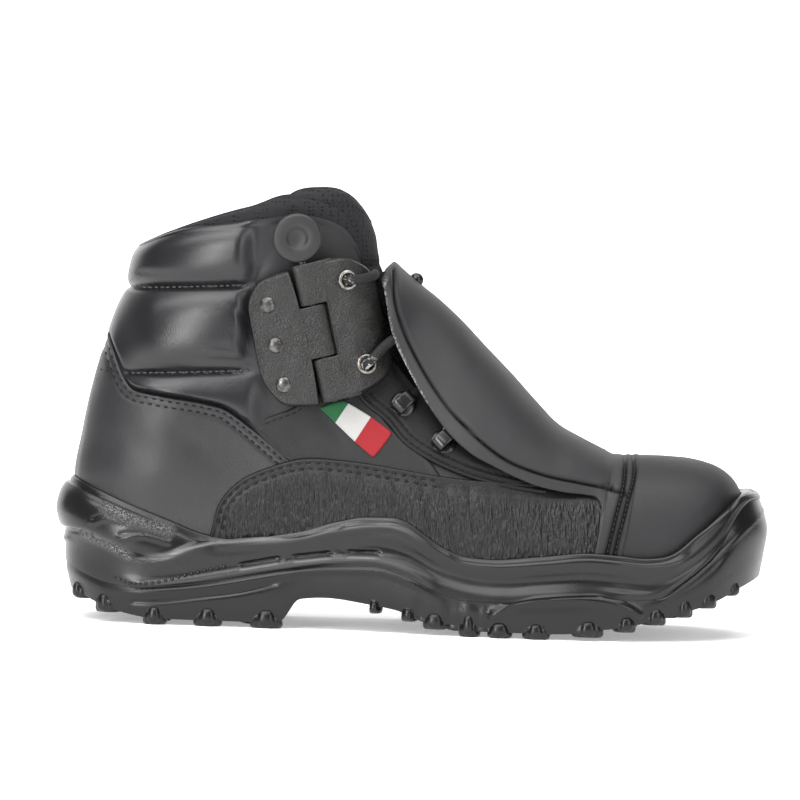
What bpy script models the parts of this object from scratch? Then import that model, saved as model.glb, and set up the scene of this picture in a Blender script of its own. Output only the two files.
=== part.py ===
"""Safety boot with an outer metatarsal guard and a leather quick-release hinge, right foot.

One boot on a flat floor. +X runs to the toe, -Y is the outer (lateral) side of the
right foot, +Z is up. The origin is on the floor, under the middle of the boot.
Sizes below are in millimetres and become metres when a mesh is made.
"""

import math

import bmesh
import bpy
import numpy as np
from mathutils import Matrix, Vector

MM = 0.001

# ---------------------------------------------------------------- driving sizes
LEATHER = 2.4          # wall of the upper below the padded collar
PADDED = 7.0           # wall of the upper in the padded collar
GAP = 0.35             # clear space between neighbouring pieces
INSOLE = 4.0           # footbed
TONGUE = 4.5           # padded tongue
GUARD = 3.2            # metatarsal guard: leather over a moulded plate
RIM_WALL = 3.4         # sole edge that wraps up round the upper
TRAY_WALL = 2.8        # outsole edge that wraps up round the midsole
GROOVE_LOW, GROOVE_HIGH = 106.5, 144.6   # stitched grooves between the collar pads
PIN_R, DISC_R, DISC_T = 2.0, 10.5, 6.0   # release pin and its round pull
KNUCKLE_R, BORE_R = 4.9, 2.5             # leather loops round the pin
LACE_R = 2.1
LATERAL, MEDIAL = -1.0, 1.0

# ---------------------------------------------------------------- section tables
# Back of the heel, seen from the side.
HEEL_BACK = ("z x", [
    (15, -139.0), (27, -140.8), (45, -143.9), (61, -144.8), (80, -142.0), (97, -139.1),
    (111, -135.8), (124, -131.6), (136, -127.9), (146, -124.8), (162, -120.4), (190, -113.0)])
# Top line of the last from the toe up over the vamp and instep to the front of the shin,
# with the radius over which the section rounds off below that line.
INSTEP = ("x z round", [
    (139.0, 24, 40), (142.0, 36, 40), (143.6, 47, 40), (143.3, 57, 39), (141.2, 65, 38),
    (135.3, 71.5, 37), (125.0, 75.6, 36), (110.0, 77.2, 36), (96.0, 77.4, 37),
    (84.0, 77.0, 40), (73.0, 78.6, 44), (60.0, 84.0, 49), (46.0, 92.6, 56), (32.0, 102.4, 64),
    (18.0, 113.6, 72), (5.0, 125.4, 76), (-4.0, 136.0, 74), (-9.5, 146.0, 70),
    (-12.8, 156.0, 64), (-14.5, 166.0, 60), (-16.2, 178.0, 58), (-18.0, 192.0, 56)])
# Half widths of the foot at its widest level, outer and inner side, and the swing of the
# centre line towards the inner side at the toe.
FOOT = ("x outer inner swing", [
    (-150, 32.0, 32.0, 0.0), (-110, 33.5, 33.0, 0.0), (-80, 35.0, 32.5, 0.0),
    (-50, 37.5, 32.0, 0.0), (-20, 42.0, 34.0, 0.0), (10, 46.0, 39.5, 0.0),
    (40, 49.2, 46.0, 0.0), (65, 50.0, 49.5, 0.3), (85, 49.0, 50.0, 1.0),
    (105, 46.5, 47.8, 2.4), (125, 44.0, 45.0, 4.2), (150, 42.0, 43.0, 6.0)])
# Half widths of the shaft and the roundness of its back.
SHAFT = ("z outer inner back", [
    (10, 33.0, 32.0, 34.0), (45, 34.5, 33.0, 36.0), (80, 36.5, 34.5, 38.0),
    (110, 38.8, 37.0, 44.0), (145, 39.0, 38.0, 48.0), (170, 39.6, 39.0, 50.0), (195, 40.2, 40.0, 50.0)])
# Lower edge of the upper, which stands on the floor of the sole.
FEATHER = ("x z", [
    (-150, 28.0), (-110, 26.8), (-70, 25.8), (-30, 24.6), (10, 22.0), (40, 19.8), (65, 19.6),
    (90, 21.5), (112, 25.4), (130, 30.0), (150, 35.0)])
# Top edge of the sole round the upper.
RIM = ("x z", [
    (-150, 61.5), (-144.8, 60.8), (-134, 56.6), (-119, 50.6), (-104, 45.0), (-89, 39.6), (-80, 38.2),
    (-48, 42.2), (-32, 47.0), (-19, 49.6), (-8, 49.8), (-2, 48.0), (6, 43.0), (14, 37.8), (23, 34.4),
    (35, 33.6), (55, 35.4), (76, 37.4), (88, 36.8), (99, 35.8), (110, 36.8), (121, 40.4),
    (128, 45.6), (135.5, 52.6), (141.8, 59.0), (150, 64.5)])
# Line between midsole and outsole, the level of the outsole inside it, the tread and its lugs.
PARTING = ("x part inner base lug", [
    (-153, 27.0, 18.0, 17.0, 11.0), (-142, 21.0, 16.5, 13.4, 8.6), (-129, 16.8, 12.4, 8.2, 3.4),
    (-116, 15.4, 10.6, 5.4, 0.9), (-110, 15.8, 10.2, 4.6, 0.0), (-93, 17.6, 10.0, 4.5, 0.0),
    (-62, 23.4, 10.0, 4.5, 0.0), (-55, 24.8, 11.0, 4.8, 0.0), (-47, 26.2, 17.6, 13.0, 8.6),
    (-36, 27.6, 18.0, 14.0, 10.2), (-16, 28.2, 16.0, 11.8, 8.4), (-1, 24.4, 13.6, 9.2, 5.6),
    (10, 19.4, 11.4, 6.8, 2.8), (24, 15.4, 10.0, 4.5, 0.0), (40, 15.0, 9.6, 4.5, 0.0),
    (55, 17.6, 9.6, 4.5, 0.0), (66, 18.8, 10.0, 4.7, 0.0), (79, 19.4, 11.4, 6.4, 2.0),
    (94, 17.6, 12.8, 8.6, 4.3), (106, 18.6, 15.4, 11.6, 7.4), (118, 26.0, 18.4, 14.8, 10.6),
    (130, 36.0, 22.0, 18.8, 15.0), (143, 49.3, 27.0, 25.4, 21.0), (153, 58.0, 31.0, 30.0, 26.0)])
# Outline of the sole from above.
SOLE = ("x outer inner", [
    (-153, 40.0, 39.5), (-110, 40.5, 39.5), (-80, 41.0, 38.5), (-50, 42.0, 36.5), (-20, 45.5, 37.5),
    (10, 50.5, 43.5), (40, 54.6, 50.8), (65, 56.0, 54.2), (85, 55.2, 54.7), (105, 52.0, 53.4),
    (125, 49.5, 50.5), (153, 47.0, 48.0)])
# Rings of the upper, bottom to top: heel level, then the end of the ring at the front of
# the side (throat edge above the vamp) and on the centre line, and how much the ring
# follows the arch of the feather line.
RINGS = ("heel_z edge_x edge_z mid_x mid_z arch", [
    (28.2, 122.0, 27.4, 142.0, 33.0, 1.00), (34.0, 123.0, 35.0, 143.2, 41.0, 0.75),
    (45.0, 122.0, 46.0, 143.6, 51.0, 0.35), (56.0, 118.0, 57.0, 142.6, 60.5, 0.10),
    (66.0, 106.0, 65.0, 138.6, 68.2, 0.0), (74.0, 90.0, 68.5, 128.0, 74.5, 0.0),
    (81.0, 72.0, 70.0, 110.0, 77.2, 0.0), (88.0, 55.0, 73.5, 88.0, 76.9, 0.0),
    (95.0, 42.0, 79.5, 68.0, 80.6, 0.0), (101.0, 27.0, 85.5, 52.0, 88.6, 0.0),
    (106.5, 15.0, 93.0, 0, 0, 0.0), (112.0, 6.5, 100.0, 0, 0, 0.0), (120.5, -5.0, 112.0, 0, 0, 0.0),
    (130.5, -14.0, 126.0, 0, 0, 0.0), (139.0, -19.5, 137.0, 0, 0, 0.0), (144.6, -22.0, 144.0, 0, 0, 0.0)])
# Top line of the collar from heel to throat.
COLLAR = ("x z", [
    (-120.4, 162.0), (-109.0, 167.4), (-95.0, 172.3), (-72.0, 178.4), (-56.0, 180.4), (-42.0, 178.6),
    (-33.0, 174.6), (-28.0, 167.6), (-25.0, 157.4)])
# Tongue: centre line and side edge of each section.
TONGUE_ROWS = ("mid_x mid_z edge_x edge_z", [
    (52.0, 88.6, 33.0, 76.0), (40.0, 96.6, 20.0, 83.0), (26.0, 107.0, 6.0, 92.0),
    (12.0, 119.0, -8.0, 102.0), (1.0, 129.8, -20.0, 114.0), (-7.0, 141.0, -30.0, 128.0),
    (-12.0, 153.0, -38.0, 143.0), (-14.4, 165.0, -45.0, 158.0), (-16.4, 175.5, -53.0, 172.0),
    (-20.5, 182.2, -58.0, 179.0), (-26.0, 186.6, -62.0, 182.5)])
# Metatarsal guard: ridge and side edge of each section, and how far the edge stands off the
# upper, toe seam to top.
GUARD_ROWS = ("ridge_x ridge_z edge_x edge_z stand", [
    (92.0, 81.4, 87.0, 61.5, 0.8), (82.5, 82.2, 80.5, 60.8, 0.9), (73.0, 84.9, 67.0, 62.4, 1.3),
    (62.5, 90.4, 54.0, 64.8, 1.9), (52.0, 100.4, 43.0, 68.8, 2.7), (41.0, 111.6, 33.5, 73.2, 3.8),
    (30.5, 122.0, 24.5, 77.8, 5.2), (20.0, 132.4, 14.0, 86.6, 6.8), (10.5, 140.6, 4.6, 98.8, 8.6),
    (1.0, 147.8, -5.0, 115.0, 11.5), (-6.0, 153.6, -11.6, 129.5, 15.0), (-11.2, 157.9, -15.6, 148.0, 16.5)])
# Leather hinge, seen from the side: corners of each leaf and the axis of its pin.
REAR_LEAF = [(-73.6, 139.0), (-69.6, 148.6), (-49.6, 155.2), (-35.0, 99.6), (-40.0, 96.4), (-57.0, 95.2),
             (-66.0, 105.0)]
FRONT_LEAF = [(-49.6, 155.8), (-31.5, 160.6), (-20.0, 155.2), (-16.2, 141.0), (-8.4, 111.0), (-34.4, 98.2)]
HINGE_TOP, HINGE_LOW = (-49.8, 156.4), (-34.4, 98.6)
KNUCKLES = ("name start end", [("front", 0.0, 0.292), ("rear", 0.312, 0.672), ("front", 0.692, 1.0)])
RIVETS = [(-64.3, 138.5), (-60.3, 121.4), (-56.3, 104.6)]
EYELETS = [(-30.7, 150.3), (-21.4, 114.6)]
INNER_EYELETS = [(-27.5, 149.0), (-17.0, 126.0)]
LACE_RINGS = [(-5.5, 97.0), (12.5, 81.6)]


# ---------------------------------------------------------------- small tools
def column(tab, key, value):
    """Smooth curve of one named column against another, with no overshoot."""
    names, rows = tab[0].split(), np.array(tab[1], float)
    xs, ys = rows[:, names.index(key)], rows[:, names.index(value)]
    h, d = np.diff(xs), np.diff(ys) / np.diff(xs)
    m = np.concatenate([[d[0]], np.zeros(len(d) - 1), [d[-1]]])
    for k in range(1, len(d)):
        if d[k - 1] * d[k] > 0:
            a, b = 2 * h[k] + h[k - 1], h[k] + 2 * h[k - 1]
            m[k] = (a + b) / (a / d[k - 1] + b / d[k])

    def read(x):
        x = np.clip(np.asarray(x, float), xs[0], xs[-1])
        k = np.clip(np.searchsorted(xs, x) - 1, 0, len(h) - 1)
        t = (x - xs[k]) / h[k]
        return ((1 + 2 * t) * (1 - t) ** 2 * ys[k] + t * (1 - t) ** 2 * h[k] * m[k]
                + t * t * (3 - 2 * t) * ys[k + 1] + t * t * (t - 1) * h[k] * m[k + 1])

    return read


def through(points, count):
    """Evenly spaced points on a smooth curve through the given ones."""
    p = np.array(points, float)
    t = np.concatenate([[0], np.cumsum(np.sqrt((np.diff(p, axis=0) ** 2).sum(1)))])
    m = np.gradient(p, t, axis=0)
    fine = np.linspace(0, t[-1], 12 * len(p))
    k = np.clip(np.searchsorted(t, fine) - 1, 0, len(t) - 2)
    h = (t[k + 1] - t[k])[:, None]
    u = ((fine - t[k]) / (t[k + 1] - t[k]))[:, None]
    q = ((1 + 2 * u) * (1 - u) ** 2 * p[k] + u * (1 - u) ** 2 * h * m[k]
         + u * u * (3 - 2 * u) * p[k + 1] + u * u * (u - 1) * h * m[k + 1])
    s = np.concatenate([[0], np.cumsum(np.sqrt((np.diff(q, axis=0) ** 2).sum(1)))])
    want = np.linspace(0, s[-1], count)
    return np.stack([np.interp(want, s, q[:, c]) for c in range(q.shape[1])], 1)


def round_off(q, n=2.0):
    """0 at an edge, 1 from q = 1 on, rounded between as a superellipse is."""
    return (1 - (1 - np.clip(q, 0, 1)) ** n) ** (1 / n)


def step(a, b, x):
    t = np.clip((np.asarray(x, float) - a) / (b - a), 0, 1)
    return t * t * (3 - 2 * t)


def to_line(px, pz, line):
    """Distance of side-view points to a polyline, and where along it the nearest point is."""
    a, b = line[:-1, :2], line[1:, :2]
    d = b - a
    p = np.stack([np.ravel(px), np.ravel(pz)], 1)
    t = ((p[:, None, 0] - a[None, :, 0]) * d[None, :, 0] + (p[:, None, 1] - a[None, :, 1]) * d[None, :, 1])
    t = np.clip(t / (d ** 2).sum(1)[None], 0, 1)
    qx = p[:, None, 0] - (a[None, :, 0] + t * d[None, :, 0])
    qz = p[:, None, 1] - (a[None, :, 1] + t * d[None, :, 1])
    dist = np.sqrt(qx ** 2 + qz ** 2)
    k = dist.argmin(1)
    r = np.arange(len(k))
    return dist[r, k].reshape(np.shape(px)), (k + t[r, k]).reshape(np.shape(px))


heel_x = column(HEEL_BACK, "z", "x")
feather_z = column(FEATHER, "x", "z")
rim_z = column(RIM, "x", "z")
part_z, inner_z = column(PARTING, "x", "part"), column(PARTING, "x", "inner")
base_z, lug_z = column(PARTING, "x", "base"), column(PARTING, "x", "lug")
swing = column(FOOT, "x", "swing")
foot = {LATERAL: column(FOOT, "x", "outer"), MEDIAL: column(FOOT, "x", "inner")}
shaft = {LATERAL: column(SHAFT, "z", "outer"), MEDIAL: column(SHAFT, "z", "inner")}
sole = {LATERAL: column(SOLE, "x", "outer"), MEDIAL: column(SOLE, "x", "inner")}
back_round = column(SHAFT, "z", "back")
INSTEP_LINE = through(INSTEP[1], 160)
BACK_LINE = np.array([(float(heel_x(z)), z) for z in np.linspace(15, 190, 60)])
collar_z = column(COLLAR, "x", "z")


def half_width(x, z, side):
    """Half width of the last at a side-view point, on one side."""
    d_top, where = to_line(x, z, INSTEP_LINE)
    d_back, _ = to_line(x, z, BACK_LINE)
    r_top = np.interp(where, np.arange(len(INSTEP_LINE)), INSTEP_LINE[:, 2])
    up = step(70, 122, z)
    w = foot[side](x) * (1 - up) + shaft[side](z) * up
    tuck = 1 - 0.09 * np.clip(1 - (z - feather_z(x)) / 20, 0, 1) ** 2
    return w * tuck * round_off(d_top / r_top, 2.25) * round_off(d_back / back_round(z), 2.1)


def instep_z(x):
    """Height of the instep line over a point of the foot."""
    shin = INSTEP_LINE[INSTEP_LINE[:, 0].argmax():][::-1]
    return np.interp(x, shin[:, 0], shin[:, 1])


def on_last(x, z, side):
    x, z = np.asarray(x, float), np.asarray(z, float)
    return np.stack([x, swing(x) + side * half_width(x, z, side), z], -1)


def normals(grid, closed):
    """Outward normals of a grid of points; rows go up, columns go lateral to medial round the heel."""
    du = (np.roll(grid, -1, 1) - np.roll(grid, 1, 1)) if closed else np.gradient(grid, axis=1)
    dv = np.gradient(grid, axis=0)
    n = np.cross(dv, du)
    return n / np.maximum(np.linalg.norm(n, axis=-1, keepdims=True), 1e-9)


def surface_frame(x, z, side):
    """Point of the last, its outward normal, and the two directions along it."""
    e = 0.4
    p = on_last(x, z, side)
    tx = (on_last(x + e, z, side) - on_last(x - e, z, side))
    tz = (on_last(x, z + e, side) - on_last(x, z - e, side))
    n = np.cross(tx, tz) * -side
    unit = lambda v: v / np.linalg.norm(v)
    return p, unit(n), unit(tx), unit(tz)


def pads(x, z):
    """How far the collar pads stand out from the last, between their stitched grooves."""
    top = collar_z(x)
    low = np.clip((z - 92.0) / (GROOVE_LOW - 92.0), 0, 1)
    mid = np.clip((z - GROOVE_LOW) / (GROOVE_HIGH - GROOVE_LOW), 0, 1)
    high = np.clip((z - GROOVE_HIGH) / np.maximum(top - GROOVE_HIGH, 1), 0, 1)
    dome = lambda t: (1 - np.abs(2 * t - 1) ** 2.6)
    puff = np.where(z < GROOVE_LOW, 1.4 * dome(low), np.where(z < GROOVE_HIGH, 3.6 * dome(mid), 3.2 * dome(high)))
    fade = (1 - step(-84, -66, x)) * (0.55 + 0.45 * step(-122, -104, x))
    return puff * fade


def wall(x, z):
    """Thickness of the upper's wall."""
    return LEATHER + (PADDED - LEATHER) * step(100, 116, z) * (1 - step(-64, -38, x)) + 0.6 * step(100, 116, z)


# ---------------------------------------------------------------- making objects
def clear_scene():
    for o in list(bpy.data.objects):
        bpy.data.objects.remove(o, do_unlink=True)


def new_collection(name):
    c = bpy.data.collections.new(name)
    bpy.context.scene.collection.children.link(c)
    return c


def material(name, colour, rough, metallic=0.0):
    m = bpy.data.materials.new(name)
    m.use_nodes = True
    b = m.node_tree.nodes["Principled BSDF"]
    b.inputs["Base Color"].default_value = (*colour, 1)
    b.inputs["Roughness"].default_value = rough
    b.inputs["Metallic"].default_value = metallic
    return m


def put(bm, name, mat, group, helper=False):
    bm.normal_update()
    bmesh.ops.recalc_face_normals(bm, faces=bm.faces)
    mesh = bpy.data.meshes.new(name)
    bm.to_mesh(mesh)
    bm.free()
    mesh.shade_smooth()
    mesh.set_sharp_from_angle(angle=math.radians(40))
    o = bpy.data.objects.new(name, mesh)
    group.objects.link(o)
    if mat:
        mesh.materials.append(mat)
    if helper:
        o.hide_render = True
        o.display_type = "WIRE"
    return o


def ring_verts(bm, points):
    return [bm.verts.new(Vector(p) * MM) for p in points]


def skin(bm, a, b, closed=True):
    """Faces between two rows of vertices of one length."""
    n = len(a)
    for j in range(n if closed else n - 1):
        k = (j + 1) % n
        bm.faces.new((a[j], a[k], b[k], b[j]))


def lid(bm, ring):
    """Closes a loop that runs from the toe round the heel and back, with strips across it."""
    n = len(ring)
    for j in range(n // 2):
        a, b = ring[j], ring[j + 1]
        c, d = ring[(n - j - 1) % n], ring[(n - j) % n]
        bm.faces.new([v for i, v in enumerate((a, b, c, d)) if v not in (a, b, c, d)[:i]])


def loft(name, rings, mat, group, helper=False):
    """A closed body through rings of points, closed by strips across its first and last ring."""
    bm = bmesh.new()
    rows = [ring_verts(bm, r) for r in rings]
    for a, b in zip(rows, rows[1:]):
        skin(bm, a, b)
    lid(bm, rows[0])
    lid(bm, rows[-1])
    return put(bm, name, mat, group, helper)


def boolean(o, other, operation):
    m = o.modifiers.new(operation.lower() + "_" + other.name, "BOOLEAN")
    m.object, m.operation, m.solver = other, operation, "EXACT"


def frame_matrix(origin, x_axis, z_axis):
    z = Vector(z_axis).normalized()
    x = (Vector(x_axis) - z * Vector(x_axis).dot(z)).normalized()
    m = Matrix((x, z.cross(x), z)).transposed().to_4x4()
    m.translation = Vector(origin) * MM
    return m


# ---------------------------------------------------------------- upper
FRONT_COLUMNS = 4
_share = np.linspace(1, 0, 18)
SIDE = np.array(sorted(list(0.55 * (1 - np.cos(np.pi * _share)) / 2 + 0.45 * _share ** 1.7) + [0.30, 0.335, 0.37],
                       reverse=True))
SIDE_COLUMNS = len(SIDE)


def upper_sections():
    """Side-view points of each ring for one side: front columns from the centre, then back to the heel."""
    names, rows = RINGS[0].split(), RINGS[1]
    out = []
    u = SIDE
    top = through([(x, z) for x, z in COLLAR[1]], 160)
    arc = np.linspace(0, 1, 160)
    for row in rows:
        r = dict(zip(names, row))
        heel = np.array([float(heel_x(r["heel_z"])), r["heel_z"]])
        edge = np.array([r["edge_x"], r["edge_z"]])
        pts = heel + (edge - heel) * u[:, None]
        if r["mid_x"]:
            mid = np.array([r["mid_x"], r["mid_z"]])
            k = (np.arange(FRONT_COLUMNS) / FRONT_COLUMNS) ** 1.8
            pts = np.concatenate([mid + (edge - mid) * k[:, None], pts])
            line = heel[1] + (mid[1] - heel[1]) * (pts[:, 0] - heel[0]) / (mid[0] - heel[0])
            span = feather_z(heel[0]) + (feather_z(mid[0]) - feather_z(heel[0])) * (pts[:, 0] - heel[0]) / (mid[0] - heel[0])
            pts[:, 1] = line + r["arch"] * (feather_z(pts[:, 0]) - span) + (1 - r["arch"]) * (pts[:, 1] - line)
        out.append(pts)
    last = out[-1]
    rim = np.stack([np.interp(u, arc, top[:, 0]), np.interp(u, arc, top[:, 1])], 1)
    for t in (0.18, 0.5, 0.82, 1.0):
        out.append(last + (rim - last) * t)
    return out


def both_sides(pts, closed):
    """Full ring from a side's points: lateral front to heel, then medial heel to front."""
    lat = on_last(pts[:, 0], pts[:, 1], LATERAL)
    med = on_last(pts[:, 0], pts[:, 1], MEDIAL)
    ring = np.concatenate([lat, med[-2:0:-1]]) if closed else np.concatenate([lat, med[-2::-1]])
    return ring


def upper_grids():
    """Closed rings below the throat, open ones above it, and the normals of both."""
    sections = upper_sections()
    low = [both_sides(p, True) for p in sections if len(p) > SIDE_COLUMNS]
    high = [both_sides(p, False) for p in sections if len(p) == SIDE_COLUMNS]
    keep = list(range(FRONT_COLUMNS, len(low[0]) - FRONT_COLUMNS + 1))
    grid_low, grid_high = np.array(low), np.array([low[-1][keep]] + high)
    n_lo, n_hi = normals(grid_low, True), normals(grid_high, False)
    shared = n_lo[-1][keep] + n_hi[0]
    shared /= np.linalg.norm(shared, axis=-1, keepdims=True)
    n_lo[-1][keep] = shared
    n_hi[0] = shared
    return grid_low, n_lo, grid_high, n_hi, keep


def make_upper(mat, group):
    grid_low, n_lo, grid_high, n_hi, keep = upper_grids()
    n_low, k = grid_low.shape[1], FRONT_COLUMNS
    bm = bmesh.new()
    sheets = []
    for inner in (False, True):
        def moved(grid, nrm):
            x, z = grid[..., 0], grid[..., 2]
            d = -wall(x, z) if inner else pads(x, z)
            return grid + nrm * np.asarray(d)[..., None]
        lo_v = [ring_verts(bm, r) for r in moved(grid_low, n_lo)]
        hi_v = [[lo_v[-1][j] for j in keep]] + [ring_verts(bm, r) for r in moved(grid_high, n_hi)[1:]]
        for a, b in zip(lo_v, lo_v[1:]):
            skin(bm, a, b)
        for a, b in zip(hi_v, hi_v[1:]):
            skin(bm, a, b, closed=False)
        sheets.append((lo_v, hi_v))
    (lo_o, hi_o), (lo_i, hi_i) = sheets
    skin(bm, lo_o[0], lo_i[0])
    # throat: up one facing, round the collar, down the other facing and across the vamp
    def mouth(lo, hi):
        up = [r[0] for r in hi]
        down = [r[-1] for r in hi][::-1]
        vamp = [lo[-1][j % n_low] for j in range(n_low - k + 1, n_low + k)]
        return up + hi[-1][1:-1] + down + vamp
    skin(bm, mouth(lo_o, hi_o), mouth(lo_i, hi_i))
    return put(bm, "upper", mat, group)


# ---------------------------------------------------------------- sole
def stations():
    """Shares of the length from toe to heel at the columns of the upper."""
    x = upper_sections()[0][:, 0]
    return (x[0] - x) / (x[0] - x[-1])


def plan_ring(x_toe, x_heel, inset, z_of, toe_round=54.0, heel_round=44.0):
    u = stations()
    x = x_toe + (x_heel - x_toe) * u
    end = round_off((x_toe - x) / toe_round, 2.3) * round_off((x - x_heel) / heel_round, 2.25)
    z = z_of(x)
    half = {s: np.maximum(sole[s](x) * end - inset * np.minimum(1, end * 1.6), 0) for s in (LATERAL, MEDIAL)}
    lat = np.stack([x, swing(x) - half[LATERAL], z], 1)
    med = np.stack([x, swing(x) + half[MEDIAL], z], 1)
    return np.concatenate([lat, med[-2:0:-1]])


def cup_rings():
    """Inside of the sole's edge: it follows the upper's own rings up to the rim, then turns out over it."""
    grid, n, _, _, _ = upper_grids()
    flat = n * np.array([1, 1, 0.35])
    flat /= np.linalg.norm(flat, axis=-1, keepdims=True)
    rows = [[] for _ in range(7)]
    for j in range(grid.shape[1]):
        over = grid[:, j, 2] - rim_z(grid[:, j, 0])
        k = int(np.argmax(over > 0)) - 1
        top = k + over[k] / (over[k] - over[k + 1])

        def at(v, out):
            i = min(int(v), len(grid) - 2)
            t = v - i
            return grid[i, j] * (1 - t) + grid[i + 1, j] * t + (flat[i, j] * (1 - t) + flat[i + 1, j] * t) * out

        drop = np.array([0, 0, GAP])
        clear = GAP + 0.55 * float(step(112, 132, grid[1, j, 0]))
        rows[0].append(at(0, clear) - drop)
        rows[1].append(at(1, clear))
        rows[2].append(at(1 + (top - 1) * 0.4, clear))
        rows[3].append(at(1 + (top - 1) * 0.75, clear))
        rows[4].append(at(top, clear) - drop * 2)
        rows[5].append(at(top, RIM_WALL * 0.55))
        rows[6].append(at(top, RIM_WALL) - drop * 4)
    return rows


def between(low, high, share):
    return lambda x: low(x) + (high(x) - low(x)) * share


def make_soles(mid_mat, out_mat, group, cutters):
    cup = cup_rings()
    gap_up = lambda f: (lambda x: f(x) + 1.5 * GAP)
    mid = [plan_ring(149.0 - TRAY_WALL - GAP, -149.6 + TRAY_WALL + GAP, TRAY_WALL + GAP, gap_up(inner_z)),
           plan_ring(149.0 - TRAY_WALL - GAP, -149.6 + TRAY_WALL + GAP, TRAY_WALL + GAP, gap_up(part_z)),
           plan_ring(149.2, -149.6, 1.0, gap_up(part_z)),
           plan_ring(149.4, -149.9, 0.4, between(part_z, rim_z, 0.32)),
           plan_ring(149.0, -152.5, 0.2, between(part_z, rim_z, 0.58)),
           plan_ring(148.2, -151.0, 1.2, between(part_z, rim_z, 0.80)),
           cup[6], cup[5], cup[4], cup[3], cup[2], cup[1], cup[0]]
    midsole = loft("midsole", mid, mid_mat, group)
    out = [plan_ring(149.0 - TRAY_WALL, -149.6 + TRAY_WALL, TRAY_WALL, inner_z),
           plan_ring(149.0 - TRAY_WALL, -149.6 + TRAY_WALL, TRAY_WALL, part_z),
           plan_ring(149.4, -148.4, 0.4, part_z),
           plan_ring(152.5, -148.6, 0.0, between(base_z, part_z, 0.72)),
           plan_ring(151.4, -147.4, 0.4, between(base_z, part_z, 0.32)),
           plan_ring(147.4, -145.4, 2.6, base_z)]
    outsole = loft("outsole", out, out_mat, group)
    boolean(outsole, make_lugs(cutters), "UNION")
    return midsole, outsole


# Lugs by row: position along and across (share of the half width), length, width, turn in degrees.
EDGE_LUGS = ("x length", [
    (-140, 9), (-124, 10), (-105, 11), (-83, 11), (-61, 11), (4, 7), (14, 8), (28, 8), (43, 8), (58, 9),
    (77, 9), (92, 8), (106, 8), (119, 8), (131, 7)])
MIDDLE_LUGS = ("x share length width turn", [
    (-126, 0.0, 9, 14, 0), (-108, -0.24, 10, 15, 18), (-108, 0.24, 10, 15, -18), (-88, -0.24, 10, 15, 18),
    (-88, 0.24, 10, 15, -18), (-68, -0.24, 10, 15, 18), (-68, 0.24, 10, 15, -18),
    (20, -0.27, 9, 21, 18), (20, 0.27, 9, 21, -18), (38, -0.27, 9, 22, 18), (38, 0.27, 9, 22, -18),
    (56, -0.27, 9, 22, 18), (56, 0.27, 9, 22, -18), (74, -0.27, 9, 22, 18), (74, 0.27, 9, 22, -18),
    (92, -0.27, 9, 21, 18), (92, 0.27, 9, 21, -18), (110, -0.27, 9, 17, 18), (110, 0.27, 9, 17, -18),
    (128, 0.0, 8, 24, 0)])


def add_lug(bm, x, y, length, width, turn, foot_z, top_z, corners=True):
    """A lug with drafted sides, cut flat at its foot."""
    made = bmesh.ops.create_cube(bm, size=1.0)["verts"]
    a = math.radians(turn)
    for v in made:
        grow = 1.0 if v.co.z < 0 else 1.12
        px, py = v.co.x * length * grow, v.co.y * width * grow
        v.co = Vector((x + px * math.cos(a) - py * math.sin(a), y + px * math.sin(a) + py * math.cos(a),
                       foot_z if v.co.z < 0 else top_z)) * MM
    upright = [e for e in {e for v in made for e in v.link_edges}
               if (e.verts[0].co.z > foot_z * MM + 1e-6) != (e.verts[1].co.z > foot_z * MM + 1e-6)]
    if corners:
        bmesh.ops.bevel(bm, geom=upright, offset=1.8 * MM, segments=1, affect="EDGES")


def make_lugs(cutters):
    bm = bmesh.new()
    for x, length in EDGE_LUGS[1]:
        end = float(round_off((147.4 - x) / 54.0, 2.3) * round_off((x + 145.4) / 44.0, 2.25))
        for side in (LATERAL, MEDIAL):
            half = float(sole[side](x)) * end - 2.6
            width = 13.0 if abs(x) < 128 else 11.0
            y = float(swing(x)) + side * (half - width * 0.42)
            add_lug(bm, x, y, length, width, 0, float(lug_z(x)), float(base_z(x)) + 2.2)
    for x, share, length, width, turn in MIDDLE_LUGS[1]:
        half = float(sole[LATERAL if share < 0 else MEDIAL](x))
        y = float(swing(x)) + share * half
        add_lug(bm, x, y, length, width, turn, float(lug_z(x)), float(base_z(x)) + 2.2, corners=False)
    return put(bm, "lug_set", None, cutters, helper=True)


def make_insole(mat, group):
    grid, n, _, _, _ = upper_grids()
    flat = n[0] * np.array([1, 1, 0])
    flat /= np.linalg.norm(flat, axis=-1, keepdims=True)
    edge = grid[0] - flat * (LEATHER + 0.9)
    rings = [edge + np.array([0, 0, dz]) for dz in (0.1, INSOLE)]
    return loft("insole", rings, mat, group)


# ---------------------------------------------------------------- tongue and guard
def sheet(name, outer, inner, mat, group, helper=False):
    """A closed body between two grids of one size."""
    bm = bmesh.new()
    rows_o = [ring_verts(bm, r) for r in outer]
    rows_i = [ring_verts(bm, r) for r in inner]
    for rows in (rows_o, rows_i):
        for a, b in zip(rows, rows[1:]):
            skin(bm, a, b, closed=False)
    border = lambda r: [v for v in r[0]] + [q[-1] for q in r[1:-1]] + r[-1][::-1] + [q[0] for q in r[-2:0:-1]]
    skin(bm, border(rows_o), border(rows_i))
    return put(bm, name, mat, group, helper)


def tongue_grid(columns=6):
    rows = []
    for mx, mz, ex, ez in TONGUE_ROWS[1]:
        k = (np.arange(columns + 1) / columns) ** 1.7
        pts = np.array([mx, mz]) + (np.array([ex, ez]) - np.array([mx, mz])) * k[:, None]
        lat = on_last(pts[:, 0], pts[:, 1], LATERAL)
        med = on_last(pts[:, 0], pts[:, 1], MEDIAL)
        rows.append(np.concatenate([lat[::-1], med[1:]]))
    return np.array(rows)


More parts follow.
